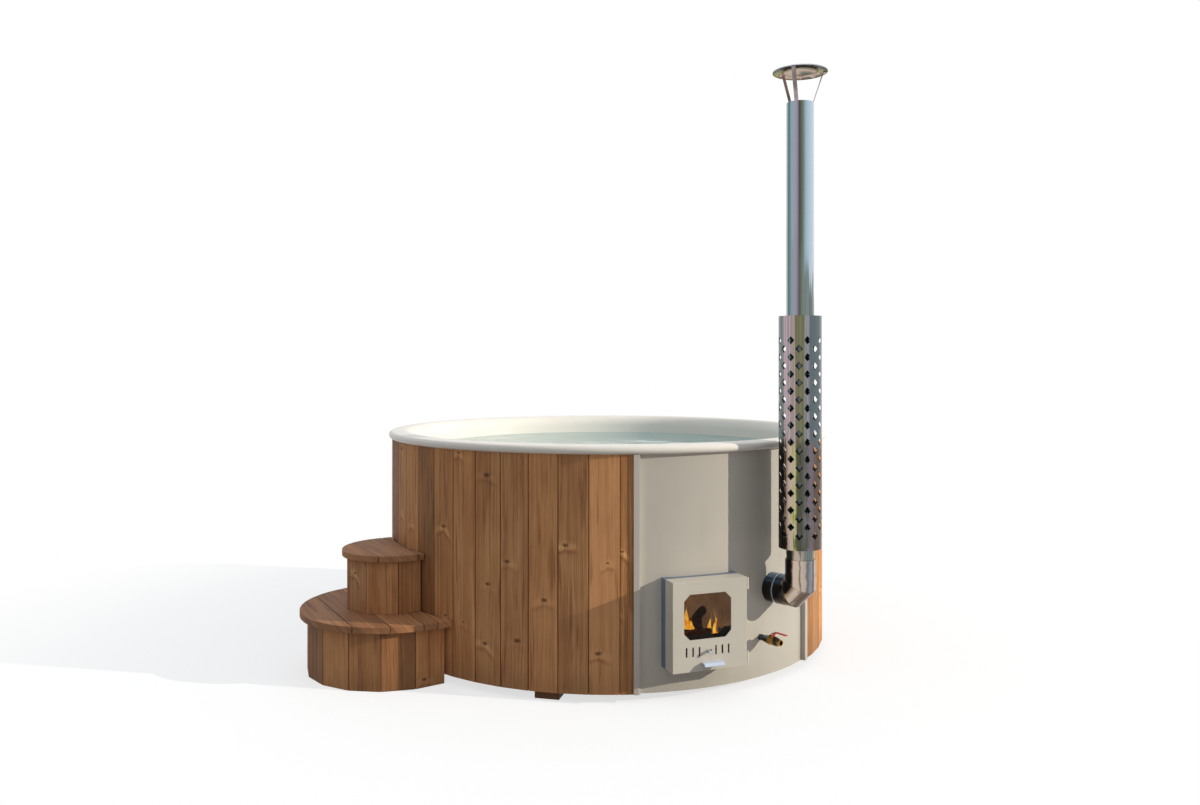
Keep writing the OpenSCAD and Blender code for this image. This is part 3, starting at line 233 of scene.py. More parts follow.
def wood(name, coords, dark, mid, light, knots=0.72, foot=None, mood=1.0):
    """Softwood. coords(g) gives the distance across from the board's middle, the distance along it and
    the height in metres, the board's number and the distance from its edge. knots is the share of
    lengths with a knot, foot the height of the damp end and mood how far boards differ."""
    g = Graph(name)
    u, v, w, idx, edge = coords(g)
    value, tone = g.chances(g.sum(g.mul(idx, 1.371), 0.37))
    # Knots: one place at most in each length of a board
    part = g.sum(g.mul(v, 1 / CELL), g.mul(value, 7.0))
    step = g.math("FLOOR", part)
    luck, chance = g.chances(g.sum(g.mul(step, 3.17), g.mul(idx, 5.31), 0.7))
    keep = g.math("LESS_THAN", luck, knots)
    du = g.less(u, g.swing(chance[0], KNOT_SPREAD))
    along = g.span(chance[1], 0.0, 1.0, 0.25, 0.75, smooth=False)
    dv = g.mul(g.less(g.math("FRACT", part), along), CELL)
    size = g.span(chance[2], 0.0, 1.0, 0.5, 1.35, smooth=False)
    warp = g.swing(g.field((u, v, idx), (60.0, 60.0, 1.0)), 0.7)
    far = g.sum(warp, g.length(g.over(du, g.mul(size, KNOT_WIDE)), g.over(dv, g.mul(size, KNOT_HIGH))))
    knot, rim, heart = (g.mul(keep, g.span(far, near, end, 1.0, 0.0))
                        for near, end in ((0.75, 1.15), (0.9, 2.0), (0.20, 0.70)))
    # Wings: pale fibre that falls away on both sides of a knot, with a dark line below
    _, way = g.chances(g.sum(g.mul(step, 1.93), g.mul(idx, 7.71), 0.2))
    fall = g.sum(dv, g.mul(g.math("MAXIMUM", du, 0.0), g.sum(way[0], 0.1)),
                 g.mul(g.math("MINIMUM", du, 0.0), g.sum(g.mul(way[1], -0.8), 0.1)), g.mul(warp, 0.012))
    reach = g.mul(g.mul(keep, g.span(way[2], 0.15, 0.85, 0.2, 1.25)),
                  g.span(g.math("ABSOLUTE", du), 0.015, g.span(size, 0.45, 1.2, 0.028, 0.062), 1.0, 0.0))
    wing = g.mul(reach, g.bell(g.over(fall, 0.0125)))
    under = g.mul(reach, g.bell(g.over(g.sum(fall, 0.022), 0.007)))
    pull = g.mul(keep, g.bell(g.over(du, 0.020), g.over(dv, 0.050)))
    # Grain: lines along the board that part round the knots
    wander = g.field((u, v, idx), (7.0, 1.3, 4.1))
    across = g.sum(u, g.mul(g.mul(du, pull), -0.6), g.mul(wander, 0.04))
    fine = g.field((across, v, idx), (460.0, 6.0, 9.3), 3.0, 0.6)
    reed = g.field((across, v, idx), (230.0, 1.6, 5.9))
    broad = g.field((across, v, idx), (60.0, 1.0, 2.7))
    smear = g.span(g.field((u, v, idx), (46.0, 3.4, 3.3)), 0.56, 0.74)
    cloud = g.field((u, v, idx), (9.0, 3.2, 1.0), 3.0, 0.6)
    f = g.sum(g.swing(fine, 0.50), g.swing(reed, 0.62), g.swing(broad, 0.65), g.mul(smear, -0.30),
              g.swing(cloud, 0.55), g.swing(value, 0.78 * mood),
              g.mul(g.mul(wing, g.span(fine, 0.3, 0.7, 0.45, 1.35)), 0.34),
              g.mul(under, -0.20), g.mul(rim, -0.18), 0.53)
    col = g.ramp(f, [(0.0, dark), (0.5, mid), (1.0, light)])
    for drawn, (lo, hi, hue) in zip(tone, BOARD_HUES):
        col = g.mix(g.span(drawn, lo, hi, 0.0, mood), col, g.shade(col, hue))
    col = g.mix(g.mul(knot, 0.60), col, lin(66, 42, 28))
    col = g.mix(g.mul(heart, 0.62), col, lin(36, 23, 15))
    if edge is not None:
        soft = g.span(edge, 0.0004, 0.0042, 1.0, 0.0)
        gap = g.span(edge, 0.0003, 0.0012, 1.0, 0.0)
        col = g.mix(g.mul(soft, 0.55), col, g.shade(col, (0.42, 0.36, 0.32)))
        col = g.mix(g.mul(gap, 0.85), col, lin(38, 25, 17))
    if foot is not None:
        damp = g.mul(g.span(w, foot, foot + 0.11, 1.0, 0.0), g.span(cloud, 0.3, 0.7, 0.25, 1.0))
        col = g.mix(g.mul(damp, 0.34), col, lin(66, 50, 40))
    height = g.sum(g.mul(fine, 0.4), g.mul(reed, 0.75), g.mul(broad, 0.3), g.mul(knot, -0.5))
    return g.principled(Base_Color=col, Roughness=g.span(reed, 0.3, 0.7, 0.57, 0.74, smooth=False),
                        Specular_IOR_Level=0.3, Normal=g.bump(height, 0.6, 0.0012))


def in_board(g, angle, pitch, r):
    """The number of the board at an angle, the share of its width there and the distance to its edge."""
    part = g.over(angle, pitch)
    idx = g.math("FLOOR", part)
    f = g.less(part, idx)
    return idx, f, g.mul(g.math("MINIMUM", f, g.less(1.0, f)), pitch * r)


def tub_boards(g):
    """Upright boards round the tub, counted from the panel's left side."""
    x, y, z = g.place()
    turns = g.over(g.less(-FIRST_BOARD, angle_of(g, x, y)), math.tau)
    t = g.mul(g.math("FRACT", turns), math.tau)
    idx, f, edge = in_board(g, t, BOARD_PITCH, TUB_R)
    return g.mul(g.less(0.5, f), BOARD_PITCH), z, z, idx, edge


def drum_boards(r, seed):
    """Upright boards round a half drum, from a joint on its front line."""
    pitch = 2 * math.asin(STEP_BOARD / 2 / r)

    def coords(g):
        x, y, z = g.place(STEP_AT, rad(STEP))
        idx, _, edge = in_board(g, angle_of(g, x, y), pitch, r)
        mid = g.mul(g.sum(idx, 0.5), pitch)
        u = g.sum(g.mul(x, g.math("COSINE", mid)), g.mul(y, g.math("SINE", mid)))
        return u, z, z, g.sum(idx, seed), edge
    return coords


def tread_boards(joints, ends, turned, seed):
    """Planks across a tread, from one joint to the next."""
    bounds = [ends[0], *joints, ends[1]]
    mids = [(a + b) / 2 for a, b in zip(bounds, bounds[1:])]

    def coords(g):
        x, y, z = g.place(STEP_AT, rad(STEP + turned))
        idx, mid, edge = seed, mids[0], 1.0
        for k, joint in enumerate(joints):
            past = g.math("GREATER_THAN", y, joint)
            idx = g.sum(past, idx)
            mid = g.sum(g.mul(past, mids[k + 1] - mids[k]), mid)
            edge = g.math("MINIMUM", g.math("ABSOLUTE", g.sum(y, -joint)), edge)
        # The grain of a plank shows on its edge as well: height counts as width there
        return g.sum(g.less(y, mid), g.mul(z, 0.7)), x, z, idx, edge
    return coords


def beam_coords(angle, seed, apart=0.25):
    """Beams that lie side by side and point the same way."""
    def coords(g):
        x, y, z = g.place((0, 0, 0), rad(angle))
        idx = g.math("ROUND", g.over(x, apart))
        return g.sum(x, g.mul(idx, -apart), g.mul(z, 0.8)), y, z, g.sum(idx, seed), None
    return coords


def upright_coords(seed):
    """Posts round the tub, one number to each stretch of bearing."""
    def coords(g):
        x, y, z = g.place()
        idx = g.math("ROUND", g.mul(angle_of(g, x, y), 5.0))
        return g.sum(x, g.mul(y, 0.8)), z, z, g.sum(idx, seed), None
    return coords


# Dark, middle and light wood: boards, treads, beams and the raw frame
BOARDS = (lin(112, 73, 46), lin(180, 125, 81), lin(234, 180, 124))
TREADS = (lin(114, 78, 53), lin(162, 113, 77), lin(202, 154, 110))
BEAM_WOOD = (lin(96, 66, 44), lin(140, 100, 68), lin(176, 134, 96))
RAW = (lin(150, 116, 78), lin(196, 160, 116), lin(222, 192, 150))
# The treads' joints and ends, across their planks
LOWER_JOINTS, LOWER_ENDS = (-0.260, -0.133, -0.006, 0.050), (-0.385, 0.11)
UPPER_JOINTS, UPPER_ENDS = (-0.131, 0.021), (-0.23, 0.11)

M = {
    "cladding": wood("cladding_wood", tub_boards, *BOARDS, foot=BOARD_FOOT),
    "lower_risers": wood("lower_riser_wood", drum_boards(LOWER_R, 60.0), *BOARDS, foot=0.0),
    "upper_risers": wood("upper_riser_wood", drum_boards(UPPER_R, 90.0), *BOARDS, knots=0.4),
    "lower_tread": wood("lower_tread_wood", tread_boards(LOWER_JOINTS, LOWER_ENDS, 0.0, 31.0), *TREADS,
                        knots=0.45, mood=0.4),
    "upper_tread": wood("upper_tread_wood", tread_boards(UPPER_JOINTS, UPPER_ENDS, 2.2, 43.0), *TREADS,
                        knots=0.4, mood=0.3),
    "beams": wood("beam_wood", beam_coords(BEAMS, 71.0), *BEAM_WOOD),
    "joists": wood("joist_wood", beam_coords(BEAMS + 90, 83.0), *RAW),
    "posts": wood("post_wood", upright_coords(95.0), *RAW),
}


def plywood(name, ply=0.0042):
    """Birch plywood, with its plies on the edges."""
    g = Graph(name)
    x, y, z = g.place()
    grain = g.field((x, y, z), (60.0, 4.0, 8.0), 4.0)
    layer = g.math("FRACT", g.mul(z, 1 / ply))
    seam = g.span(g.math("ABSOLUTE", g.less(layer, 0.5)), 0.30, 0.46)
    col = g.ramp(grain, [(0.25, lin(170, 136, 94)), (0.6, lin(205, 174, 130)), (0.9, lin(224, 198, 158))])
    col = g.mix(g.mul(seam, 0.35), col, lin(128, 92, 58))
    return g.principled(Base_Color=col, Roughness=0.7, Normal=g.bump(grain, 0.3, 0.0008))


M["plywood"] = plywood("plywood_birch")


def paint(name, base, low, rough=0.36, peel=0.06, wear=None):
    """Sprayed sheet metal: orange peel, slow drift of tone, and dust above the height wear."""
    g = Graph(name)
    x, y, z = g.place()
    p = g.vec(x, y, z)
    drift = g.noise(p, 2.6, 3.0, 0.55)
    speck = g.noise(p, 260.0, 2.0, 0.6)
    smear = g.field((x, y, z), (14.0, 14.0, 2.2), 4.0, 0.6)
    col = g.mix(g.span(drift, 0.3, 0.7), low, base)
    col = g.mix(g.mul(g.span(smear, 0.52, 0.75), 0.10), col, lin(150, 138, 120))
    col = g.mix(g.mul(g.span(speck, 0.62, 0.78), 0.06), col, lin(235, 230, 220))
    if wear is not None:
        dust = g.mul(g.span(z, wear, wear + 0.18, 1.0, 0.0), g.mul(smear, 0.30))
        col = g.mix(dust, col, lin(142, 126, 104))
    sheen = g.span(smear, 0.3, 0.7, rough - 0.05, rough + 0.08, smooth=False)
    return g.principled(Base_Color=col, Roughness=sheen, Normal=g.bump(speck, peel, 0.0006))


M["panel"] = paint("panel_paint", lin(200, 192, 180), lin(192, 184, 172), wear=BOARD_FOOT)
M["door"] = paint("door_paint", lin(208, 200, 187), lin(201, 193, 180), rough=0.40)
# The pull's pale blue is a painted reflection of the sky on its top
M["pull"] = paint("pull_sky_reflection", lin(206, 216, 234), lin(194, 206, 226), rough=0.24)
M["frame"] = paint("frame_paint", lin(112, 128, 148), lin(98, 112, 132), rough=0.34)
M["lever"] = paint("lever_coat", lin(206, 24, 34), lin(186, 18, 30), rough=0.32, peel=0.12)
M["nut"] = paint("nut_plastic", lin(34, 34, 36), lin(24, 24, 26), rough=0.42, peel=0.2)


def acrylic(name):
    """Moulded liner, with a faint line where the water has stood."""
    g = Graph(name)
    x, y, z = g.place()
    p = g.vec(x, y, z)
    drift = g.noise(p, 1.8, 3.0)
    ripple = g.noise(p, 9.0, 2.0)
    near = g.span(g.math("ABSOLUTE", g.less(z, WATER_Z + 0.011)), 0.0, 0.012, 1.0, 0.0)
    line = g.mul(near, g.noise(p, 40.0, 3.0))
    col = g.mix(g.span(drift, 0.35, 0.65), lin(236, 228, 217), lin(243, 236, 226))
    col = g.mix(g.mul(line, 0.10), col, lin(190, 200, 196))
    return g.principled(Base_Color=col, Roughness=g.span(ripple, 0.3, 0.7, 0.30, 0.42, smooth=False),
                        Coat_Weight=0.12, Coat_Roughness=0.2, Normal=g.bump(ripple, 0.05, 0.003))


M["liner"] = acrylic("liner_acrylic")


def bearing_ramp(g, a, stops):
    """Colours set by bearing in degrees, from -180 to 180."""
    return g.ramp(g.sum(g.mul(a, 1 / math.tau), 0.5), [(b / 360 + 0.5, lin(*c)) for b, c in stops])


def round_steel(name, stops, low, change, rough, wave=0.25, grey_streaks=None):
    """Polished sheet rolled round the chimney's axis: streaks along it, and painted reflections as tones
    that go round it. Below the heights of change the painted reflections are those of low. grey_streaks is
    a streaky grey over the lower part, as its dark and its light tone."""
    g = Graph(name)
    x, y, z = g.place(CHIMNEY)
    p = g.vec(x, y, z)
    a = angle_of(g, x, y)
    ring = (g.math("COSINE", a), g.math("SINE", a), z)
    drift = g.field(ring, (1.5, 1.5, 0.7))
    fine = g.field(ring, (30.0, 30.0, 0.35), 3.0, 0.6)
    smudge = g.noise(p, 22.0, 4.0, 0.6)
    wisp = g.field(ring, (12.0, 12.0, 0.9), 3.0, 0.6)
    at = g.sum(a, g.swing(drift, 0.10), g.swing(wisp, wave))
    swirl = g.field(ring, (2.6, 2.6, 9.0), 3.0, 0.6, 0.6)
    turned = g.sum(at, g.swing(swirl, g.span(z, 0.62, 1.05, 1.0, 0.0)))
    lower = g.span(g.sum(z, g.swing(swirl, 0.16)), *change, 1.0, 0.0)
    # Painted reflections by bearing, with those of low below the heights of change
    col = g.mix(lower, bearing_ramp(g, at, stops), bearing_ramp(g, turned, low))
    if grey_streaks:
        streak = g.field(ring, (7.0, 7.0, 0.2), 2.0, 0.6)
        grey = g.ramp(streak, [(0.35, lin(*grey_streaks[0])), (0.65, lin(*grey_streaks[1]))])
        rise = g.sum(z, g.swing(streak, -0.35), g.mul(a, 0.10))
        here = g.mul(g.span(rise, 1.57, 1.66, 0.9, 0.0), g.span(a, rad(-45), rad(-15), 0.25, 1.0))
        col = g.mix(here, col, grey)
    col = g.mix(g.span(fine, 0.35, 0.75, 0.0, 0.35), col, g.shade(col, (0.78, 0.78, 0.80)))
    dull = g.sum(g.mul(fine, 0.10), g.mul(g.span(smudge, 0.45, 0.8), 0.10), rough)
    return g.principled(Base_Color=col, Metallic=1.0, Roughness=dull, Normal=g.bump(fine, 0.02, 0.0006))


# The stops of pipe and shield are painted reflections, set by bearing round the chimney
M["pipe"] = round_steel("pipe_steel", [
    (-180, (150, 158, 168)), (-150, (120, 130, 135)), (-128, (205, 210, 214)), (-112, (190, 196, 206)),
    (-104, (140, 150, 150)), (-96.5, (80, 95, 80)), (-88, (104, 130, 134)), (-80, (130, 170, 186)),
    (-70, (150, 160, 172)), (-58.7, (164, 147, 158)), (-52, (140, 130, 142)), (-46.4, (60, 75, 90)),
    (-41, (84, 90, 84)), (-35.5, (106, 106, 86)), (-28, (118, 128, 118)), (-21, (150, 180, 196)),
    (-5, (180, 198, 212)), (11, (194, 208, 220)), (32, (210, 219, 228)), (47, (228, 233, 239)),
    (75, (150, 158, 166)), (110, (118, 128, 136)), (145, (176, 182, 190)), (180, (150, 158, 168)),
], low=[
    (-180, (150, 140, 130)), (-114, (48, 43, 40)), (-80, (45, 40, 38)), (-68, (195, 176, 160)),
    (-48, (190, 172, 158)), (-43, (96, 92, 56)), (-38, (190, 172, 158)), (-22, (176, 164, 156)),
    (-14, (104, 104, 108)), (8, (150, 148, 150)), (30, (196, 182, 168)), (120, (130, 126, 122)),
    (180, (150, 140, 130)),
], change=(0.60, 0.61), rough=0.18, grey_streaks=((88, 98, 94), (128, 138, 132)))
M["shield"] = round_steel("shield_steel", [
    (-180, (150, 152, 154)), (-150, (132, 140, 140)), (-128, (126, 136, 136)), (-98, (106, 116, 116)),
    (-90, (146, 140, 146)), (-82, (192, 168, 173)), (-73, (180, 162, 168)), (-68, (122, 120, 120)),
    (-63, (184, 162, 164)), (-56, (150, 138, 128)), (-50, (104, 108, 80)), (-42, (130, 124, 100)),
    (-34, (102, 110, 74)), (-27, (134, 126, 124)), (-22, (150, 152, 160)), (-14, (98, 110, 116)),
    (12, (104, 114, 118)), (30, (132, 140, 142)), (47, (110, 120, 122)), (90, (170, 172, 174)),
    (135, (120, 124, 126)), (180, (150, 152, 154)),
], low=[
    (-180, (120, 116, 110)), (-150, (84, 76, 68)), (-128, (62, 54, 47)), (-86, (58, 50, 43)),
    (-79, (186, 167, 152)), (-62, (192, 172, 157)), (-57, (160, 172, 74)), (-53, (92, 92, 70)),
    (-40, (74, 76, 62)), (-26, (100, 98, 94)), (-20, (122, 112, 118)), (-2, (118, 108, 112)),
    (6, (100, 88, 78)), (47, (112, 96, 82)), (90, (150, 140, 128)), (135, (104, 98, 92)),
    (180, (120, 116, 110)),
], change=(0.95, 1.0), rough=0.22, wave=0.7)


def turned_steel(name, stops, under, over, rough):
    """Polished bends and rings: painted reflections, a tone for each way the surface faces, with under as
    the painted reflection on faces that look down and over as the one on faces that look up.
    """
    g = Graph(name)
    x, y, z = g.place()
    p = g.vec(x, y, z)
    nx, ny, nz = g.facing()
    wave = g.noise(p, 26.0, 3.0, 0.55)
    scuff = g.noise(p, 90.0, 3.0, 0.6)
    col = bearing_ramp(g, g.sum(angle_of(g, nx, ny), g.swing(wave, 0.35)), stops)
    tilt = g.sum(nz, g.mul(wave, 0.3))
    # Painted reflections: under on faces that look down, over on faces that look up
    col = g.mix(g.span(tilt, -0.50, -0.20, 1.0, 0.0), col, under)
    col = g.mix(g.span(tilt, 0.55, 0.85), col, over)
    return g.principled(Base_Color=col, Metallic=1.0, Roughness=g.sum(g.mul(scuff, 0.12), rough),
                        Normal=g.bump(wave, 0.05, 0.002))


# Elbow and collar: painted reflections, set by the way each face looks
M["elbow"] = turned_steel("elbow_steel", [
    (-180, (150, 140, 130)), (-128, (120, 112, 104)), (-114, (48, 43, 40)), (-78, (45, 40, 38)),
    (-68, (195, 176, 160)), (-48, (196, 178, 162)), (-43, (96, 92, 56)), (-38, (190, 172, 158)),
    (-22, (176, 164, 156)), (-14, (104, 104, 108)), (4, (150, 148, 150)), (16, (92, 94, 98)),
    (30, (196, 182, 168)), (60, (188, 172, 158)), (120, (130, 126, 122)), (180, (150, 140, 130)),
], under=lin(96, 78, 66), over=lin(196, 178, 160), rough=0.09)
M["collar"] = turned_steel("collar_steel", [
    (-180, (34, 34, 36)), (-110, (40, 38, 38)), (-84, (62, 60, 62)), (-70, (30, 30, 32)),
    (-40, (36, 36, 40)), (-20, (70, 66, 66)), (0, (30, 30, 32)), (60, (50, 50, 54)), (180, (34, 34, 36)),
], under=lin(62, 48, 40), over=lin(96, 118, 150), rough=0.07)


def cap_steel(name):
    """Spun cap: painted reflections in bands on its underside, towards its far side, and clean steel above.
    """
    g = Graph(name)
    x, y, z = g.place(CHIMNEY, rad(-42))
    spun = g.noise(g.vec(g.mul(g.length(x, y), 900.0)))
    patch = g.noise(g.vec(x, y, z), 14.0, 3.0, 0.6)
    ring = g.length(g.mul(x, 0.7), g.sum(y, -0.045))
    # Painted reflections on the underside, in bands round a point towards the far side
    below = g.ramp(g.mul(g.sum(ring, g.swing(patch, 0.004)), 5.0), [
        (0.0, lin(208, 186, 170)), (0.26, lin(188, 164, 148)), (0.29, lin(112, 98, 78)),
        (0.31, lin(168, 166, 92)), (0.34, lin(150, 148, 86)), (0.36, lin(76, 66, 52)),
        (0.38, lin(156, 154, 92)), (0.42, lin(122, 116, 76)), (0.44, lin(64, 55, 48)),
        (1.0, lin(58, 50, 45))])
    above = g.mix(g.span(patch, 0.3, 0.7), lin(186, 192, 200), lin(214, 218, 224))
    col = g.mix(g.span(g.facing()[2], -0.25, -0.05, 1.0, 0.0), above, below)
    return g.principled(Base_Color=col, Metallic=1.0, Normal=g.bump(spun, 0.05, 0.0004),
                        Roughness=g.span(spun, 0.3, 0.7, 0.30, 0.40, smooth=False))


M["cap"] = cap_steel("cap_steel")


def sheet_steel(name, base, low, rough):
    """Drawn or cast metal in two tones."""
    g = Graph(name)
    x, y, z = g.place()
    drawn = g.field((x, y, z), (30.0, 30.0, 420.0), 3.0, 0.6)
    patch = g.noise(g.vec(x, y, z), 12.0, 4.0, 0.6)
    col = g.mix(g.span(patch, 0.3, 0.7), low, base)
    col = g.mix(g.mul(g.span(drawn, 0.4, 0.8), 0.15), col, base)
    dull = g.span(patch, 0.3, 0.7, rough - 0.06, rough + 0.1, smooth=False)
    return g.principled(Base_Color=col, Metallic=1.0, Roughness=dull, Normal=g.bump(drawn, 0.08, 0.0005))


M["bright"] = sheet_steel("bright_steel", lin(214, 218, 222), lin(176, 184, 192), rough=0.16)
M["strap"] = sheet_steel("strap_steel", lin(182, 164, 168), lin(104, 98, 92), rough=0.26)
M["stove"] = sheet_steel("stove_steel", lin(168, 168, 166), lin(126, 124, 120), rough=0.42)
M["brass"] = sheet_steel("valve_brass", lin(206, 160, 84), lin(142, 108, 58), rough=0.28)
M["nipple"] = sheet_steel("drain_steel", lin(92, 98, 100), lin(52, 58, 62), rough=0.34)


def soot(name):
    """Cast iron under soot."""
    g = Graph(name)
    x, y, z = g.place()
    p = g.vec(x, y, z)
    crust = g.noise(p, 70.0, 5.0, 0.65)
    patch = g.noise(p, 14.0, 3.0)
    col = g.ramp(g.sum(g.mul(crust, 0.6), g.mul(patch, 0.4)),
                 [(0.3, lin(18, 15, 13)), (0.6, lin(44, 36, 30)), (0.8, lin(84, 66, 50))])
    return g.principled(Base_Color=col, Roughness=0.85, Normal=g.bump(crust, 0.7, 0.002))


M["soot"] = soot("sooty_iron")


# The mouth of the firebox, from the tub's axis
MOUTH = 0.850


def firebox_steel(name, low):
    """Rusty plate with painted firelight: it glows as an emitter, brighter to the right, and is painted
    near black as shade below the height low from the fire's mouth outwards."""
    g = Graph(name)
    x, y, z = g.place((0, 0, 0), rad(DOOR))
    patch = g.noise(g.vec(x, y, z), 9.0, 5.0, 0.6)
    rust = g.ramp(patch, [(0.3, lin(70, 52, 38)), (0.55, lin(118, 90, 62)), (0.8, lin(150, 118, 84))])
    warm = g.mix(g.span(x, -0.06, 0.14), lin(60, 46, 35), lin(104, 80, 60))
    # Painted firelight where lit, and painted shade, near black, elsewhere
    lit = g.math("MAXIMUM", g.span(z, low, low + 0.004), g.span(y, -MOUTH - 0.004, -MOUTH))
    glow = g.mul(lit, g.span(patch, 0.3, 0.75, 0.75, 1.15, smooth=False))
    return g.principled(Base_Color=g.mix(lit, lin(16, 13, 12), rust), Roughness=0.7,
                        Normal=g.bump(patch, 0.3, 0.002), Emission_Color=warm, Emission_Strength=glow)


# Firebox plates and the door's inner plate carry painted firelight and painted shade
M["firebox"] = firebox_steel("firebox_plate", 0.232)
M["inner_plate"] = firebox_steel("door_plate", 0.27)


def rope(name):
    """Glass-fibre rope of the door's seal."""
    g = Graph(name)
    x, y, z = g.place()
    strand = g.noise(g.vec(x, y, z), 420.0)
    col = g.ramp(strand, [(0.3, lin(128, 122, 108)), (0.7, lin(206, 200, 186))])
    return g.principled(Base_Color=col, Roughness=0.95, Sheen_Weight=0.3,
                        Normal=g.bump(strand, 0.8, 0.001))


M["rope"] = rope("seal_rope")


def fire_glass(name):
    """The door's window, with a haze of smoke and little shine."""
    g = Graph(name)
    x, y, z = g.place()
    haze = g.noise(g.vec(x, y, z), 16.0, 4.0, 0.6)
    smoked = g.ramp(haze, [(0.3, (0.74, 0.69, 0.64, 1)), (0.7, (0.88, 0.84, 0.80, 1))])
    clear = g.add("BsdfTransparent", Color=smoked).outputs[0]
    gloss = g.add("BsdfGlossy", Color=(1, 1, 1, 1), Roughness=0.06).outputs[0]
    return g.surface(g.blend(g.mul(g.add("Fresnel", IOR=1.45).outputs[0], 0.15), clear, gloss))


M["glass"] = fire_glass("fire_glass")


def water(name):
    """The bath's surface: tinted light through it, some milk in it, and its mirror."""
    g = Graph(name)
    x, y, z = g.place()
    p = g.vec(x, y, z)
    wave = g.noise(p, 7.0, 3.0, 0.5, 0.6)
    small = g.noise(p, 26.0)
    tint = g.ramp(wave, [(0.3, (0.56, 0.82, 0.82, 1)), (0.7, (0.68, 0.89, 0.89, 1))])
    clear = g.add("BsdfTransparent", Color=tint).outputs[0]
    milk = g.add("BsdfDiffuse", Color=lin(160, 208, 210)).outputs[0]
    n = g.bump(g.sum(wave, g.mul(small, 0.25)), 0.35, 0.01)
    gloss = g.add("BsdfGlossy", Color=(1, 1, 1, 1), Roughness=0.03, Normal=n).outputs[0]
    mirror = g.add("Fresnel", IOR=1.33, Normal=n).outputs[0]
    return g.surface(g.blend(mirror, g.blend(0.45, clear, milk), gloss))


M["water"] = water("bath_water")


def flame(name):
    """Fire: it glows where it's hot, and is clear at its edges and tips."""
    g = Graph(name)
    x, y, z = g.place()
    lick = g.field((x, y, z), (120.0, 120.0, 34.0), 4.0, 0.65, 0.8)
    rise = g.span(z, 0.20, 0.36, smooth=False)
    face = g.add("LayerWeight", Blend=0.35).outputs["Facing"]
    heat = g.sum(g.mul(lick, 2.4), -0.22, g.mul(rise, -0.42), g.mul(face, -0.55))
    col = g.ramp(heat, [(0.15, lin(150, 40, 6)), (0.40, lin(230, 104, 10)), (0.70, lin(255, 166, 26)),
                        (0.98, lin(255, 220, 96))])
    glow = g.add("Emission", Color=col, Strength=1.15).outputs[0]
    gone = g.add("BsdfTransparent").outputs[0]
    return g.surface(g.blend(g.span(heat, 0.12, 0.42), gone, glow))


M["flame"] = flame("fire_flame")


def charred(name):
    """Burnt wood, with grey ash and embers in its cracks."""
    g = Graph(name)
    x, y, z = g.place()
    p = g.vec(x, y, z)
    crack = g.add("TexVoronoi", {"feature": "DISTANCE_TO_EDGE"}, Vector=p, Scale=95.0).outputs["Distance"]
    bark = g.noise(p, 120.0, 5.0, 0.7)
    ash = g.noise(p, 30.0, 4.0, 0.6)
    col = g.ramp(bark, [(0.35, lin(8, 7, 7)), (0.65, lin(16, 13, 12)), (0.85, lin(34, 29, 27))])
    col = g.mix(g.mul(g.span(ash, 0.62, 0.78), 0.25), col, lin(120, 112, 104))
    ember = g.mul(g.span(crack, 0.0, 0.05, 1.0, 0.0), g.span(ash, 0.48, 0.62))
    return g.principled(Base_Color=col, Roughness=0.9, Emission_Color=lin(255, 96, 16),
                        Emission_Strength=g.mul(ember, 0.25),
                        Normal=g.bump(g.sum(bark, g.mul(crack, 3.0)), 0.9, 0.003))


M["char"] = charred("charred_wood")


# Meshes
def link(name, mesh, mat, body, node=None):
    """Puts a mesh with one material into the scene, on a body. It replaces the node, if there is one."""
    ob = bpy.data.objects.new(name, mesh)
    bpy.context.scene.collection.objects.link(ob)
    mesh.materials.clear()
    mesh.materials.append(M[mat])
    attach(ob, body)
    if node:
        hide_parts(node)
    return ob


def smooth(mesh, sharp=None):
    """Smooth faces, with sharp edges above an angle."""
    for p in mesh.polygons:
        p.use_smooth = True
    if sharp:
        mesh.set_sharp_from_angle(angle=rad(sharp))
    return mesh


def clean_copy(node, angle):
    """A node's mesh with its doubled points joined and its flat faces whole."""
    bm = bmesh.new()
    bm.from_mesh(NODES[node].data)
    bmesh.ops.remove_doubles(bm, verts=bm.verts, dist=2e-6)
    bmesh.ops.dissolve_limit(bm, angle_limit=rad(0.3), verts=bm.verts, edges=bm.edges)
    mesh = bpy.data.meshes.new(node + "_look")
    bm.to_mesh(mesh)
    bm.free()
    return smooth(mesh, angle)


def look(node, mat, bevel=0.0, segments=2, angle=35.0, limit=40.0):
    """A finished copy of a node, in its place: smooth faces below angle, eased edges above limit."""
    ob = link(node + "_look", clean_copy(node, angle), mat, BODY[node], node)
    if bevel:
        mod = ob.modifiers.new("ease", "BEVEL")
        mod.width, mod.segments = bevel, segments
        mod.limit_method, mod.angle_limit = "ANGLE", rad(limit)
        mod.harden_normals = True
        mod.use_clamp_overlap = True
    return ob


def dress(mat, *names):
    """Gives nodes that stay as they are a material."""
    for n in names:
        mesh = NODES[n].data
        mesh.materials.clear()
        mesh.materials.append(M[mat])


def round_faces(mesh, axis, radii, tol=0.0006):
    """Exact normals on the faces that lie on upright cylinders about an axis. radii holds each
    cylinder's radius, with 1 where its faces look outwards and -1 where they look inwards."""
    def out(v):
        return mesh.vertices[v].co.xy - axis.xy

    normals = []
    for p in mesh.polygons:
        mine = None
        for r, sign in radii:
            if abs(p.normal.z) < 0.3 and all(abs(out(v).length - r) < tol for v in p.vertices):
                mine = sign
        for v in p.vertices:
            normals.append((out(v).to_3d() * mine).normalized() if mine else p.normal.copy())
    mesh.normals_split_custom_set(normals)


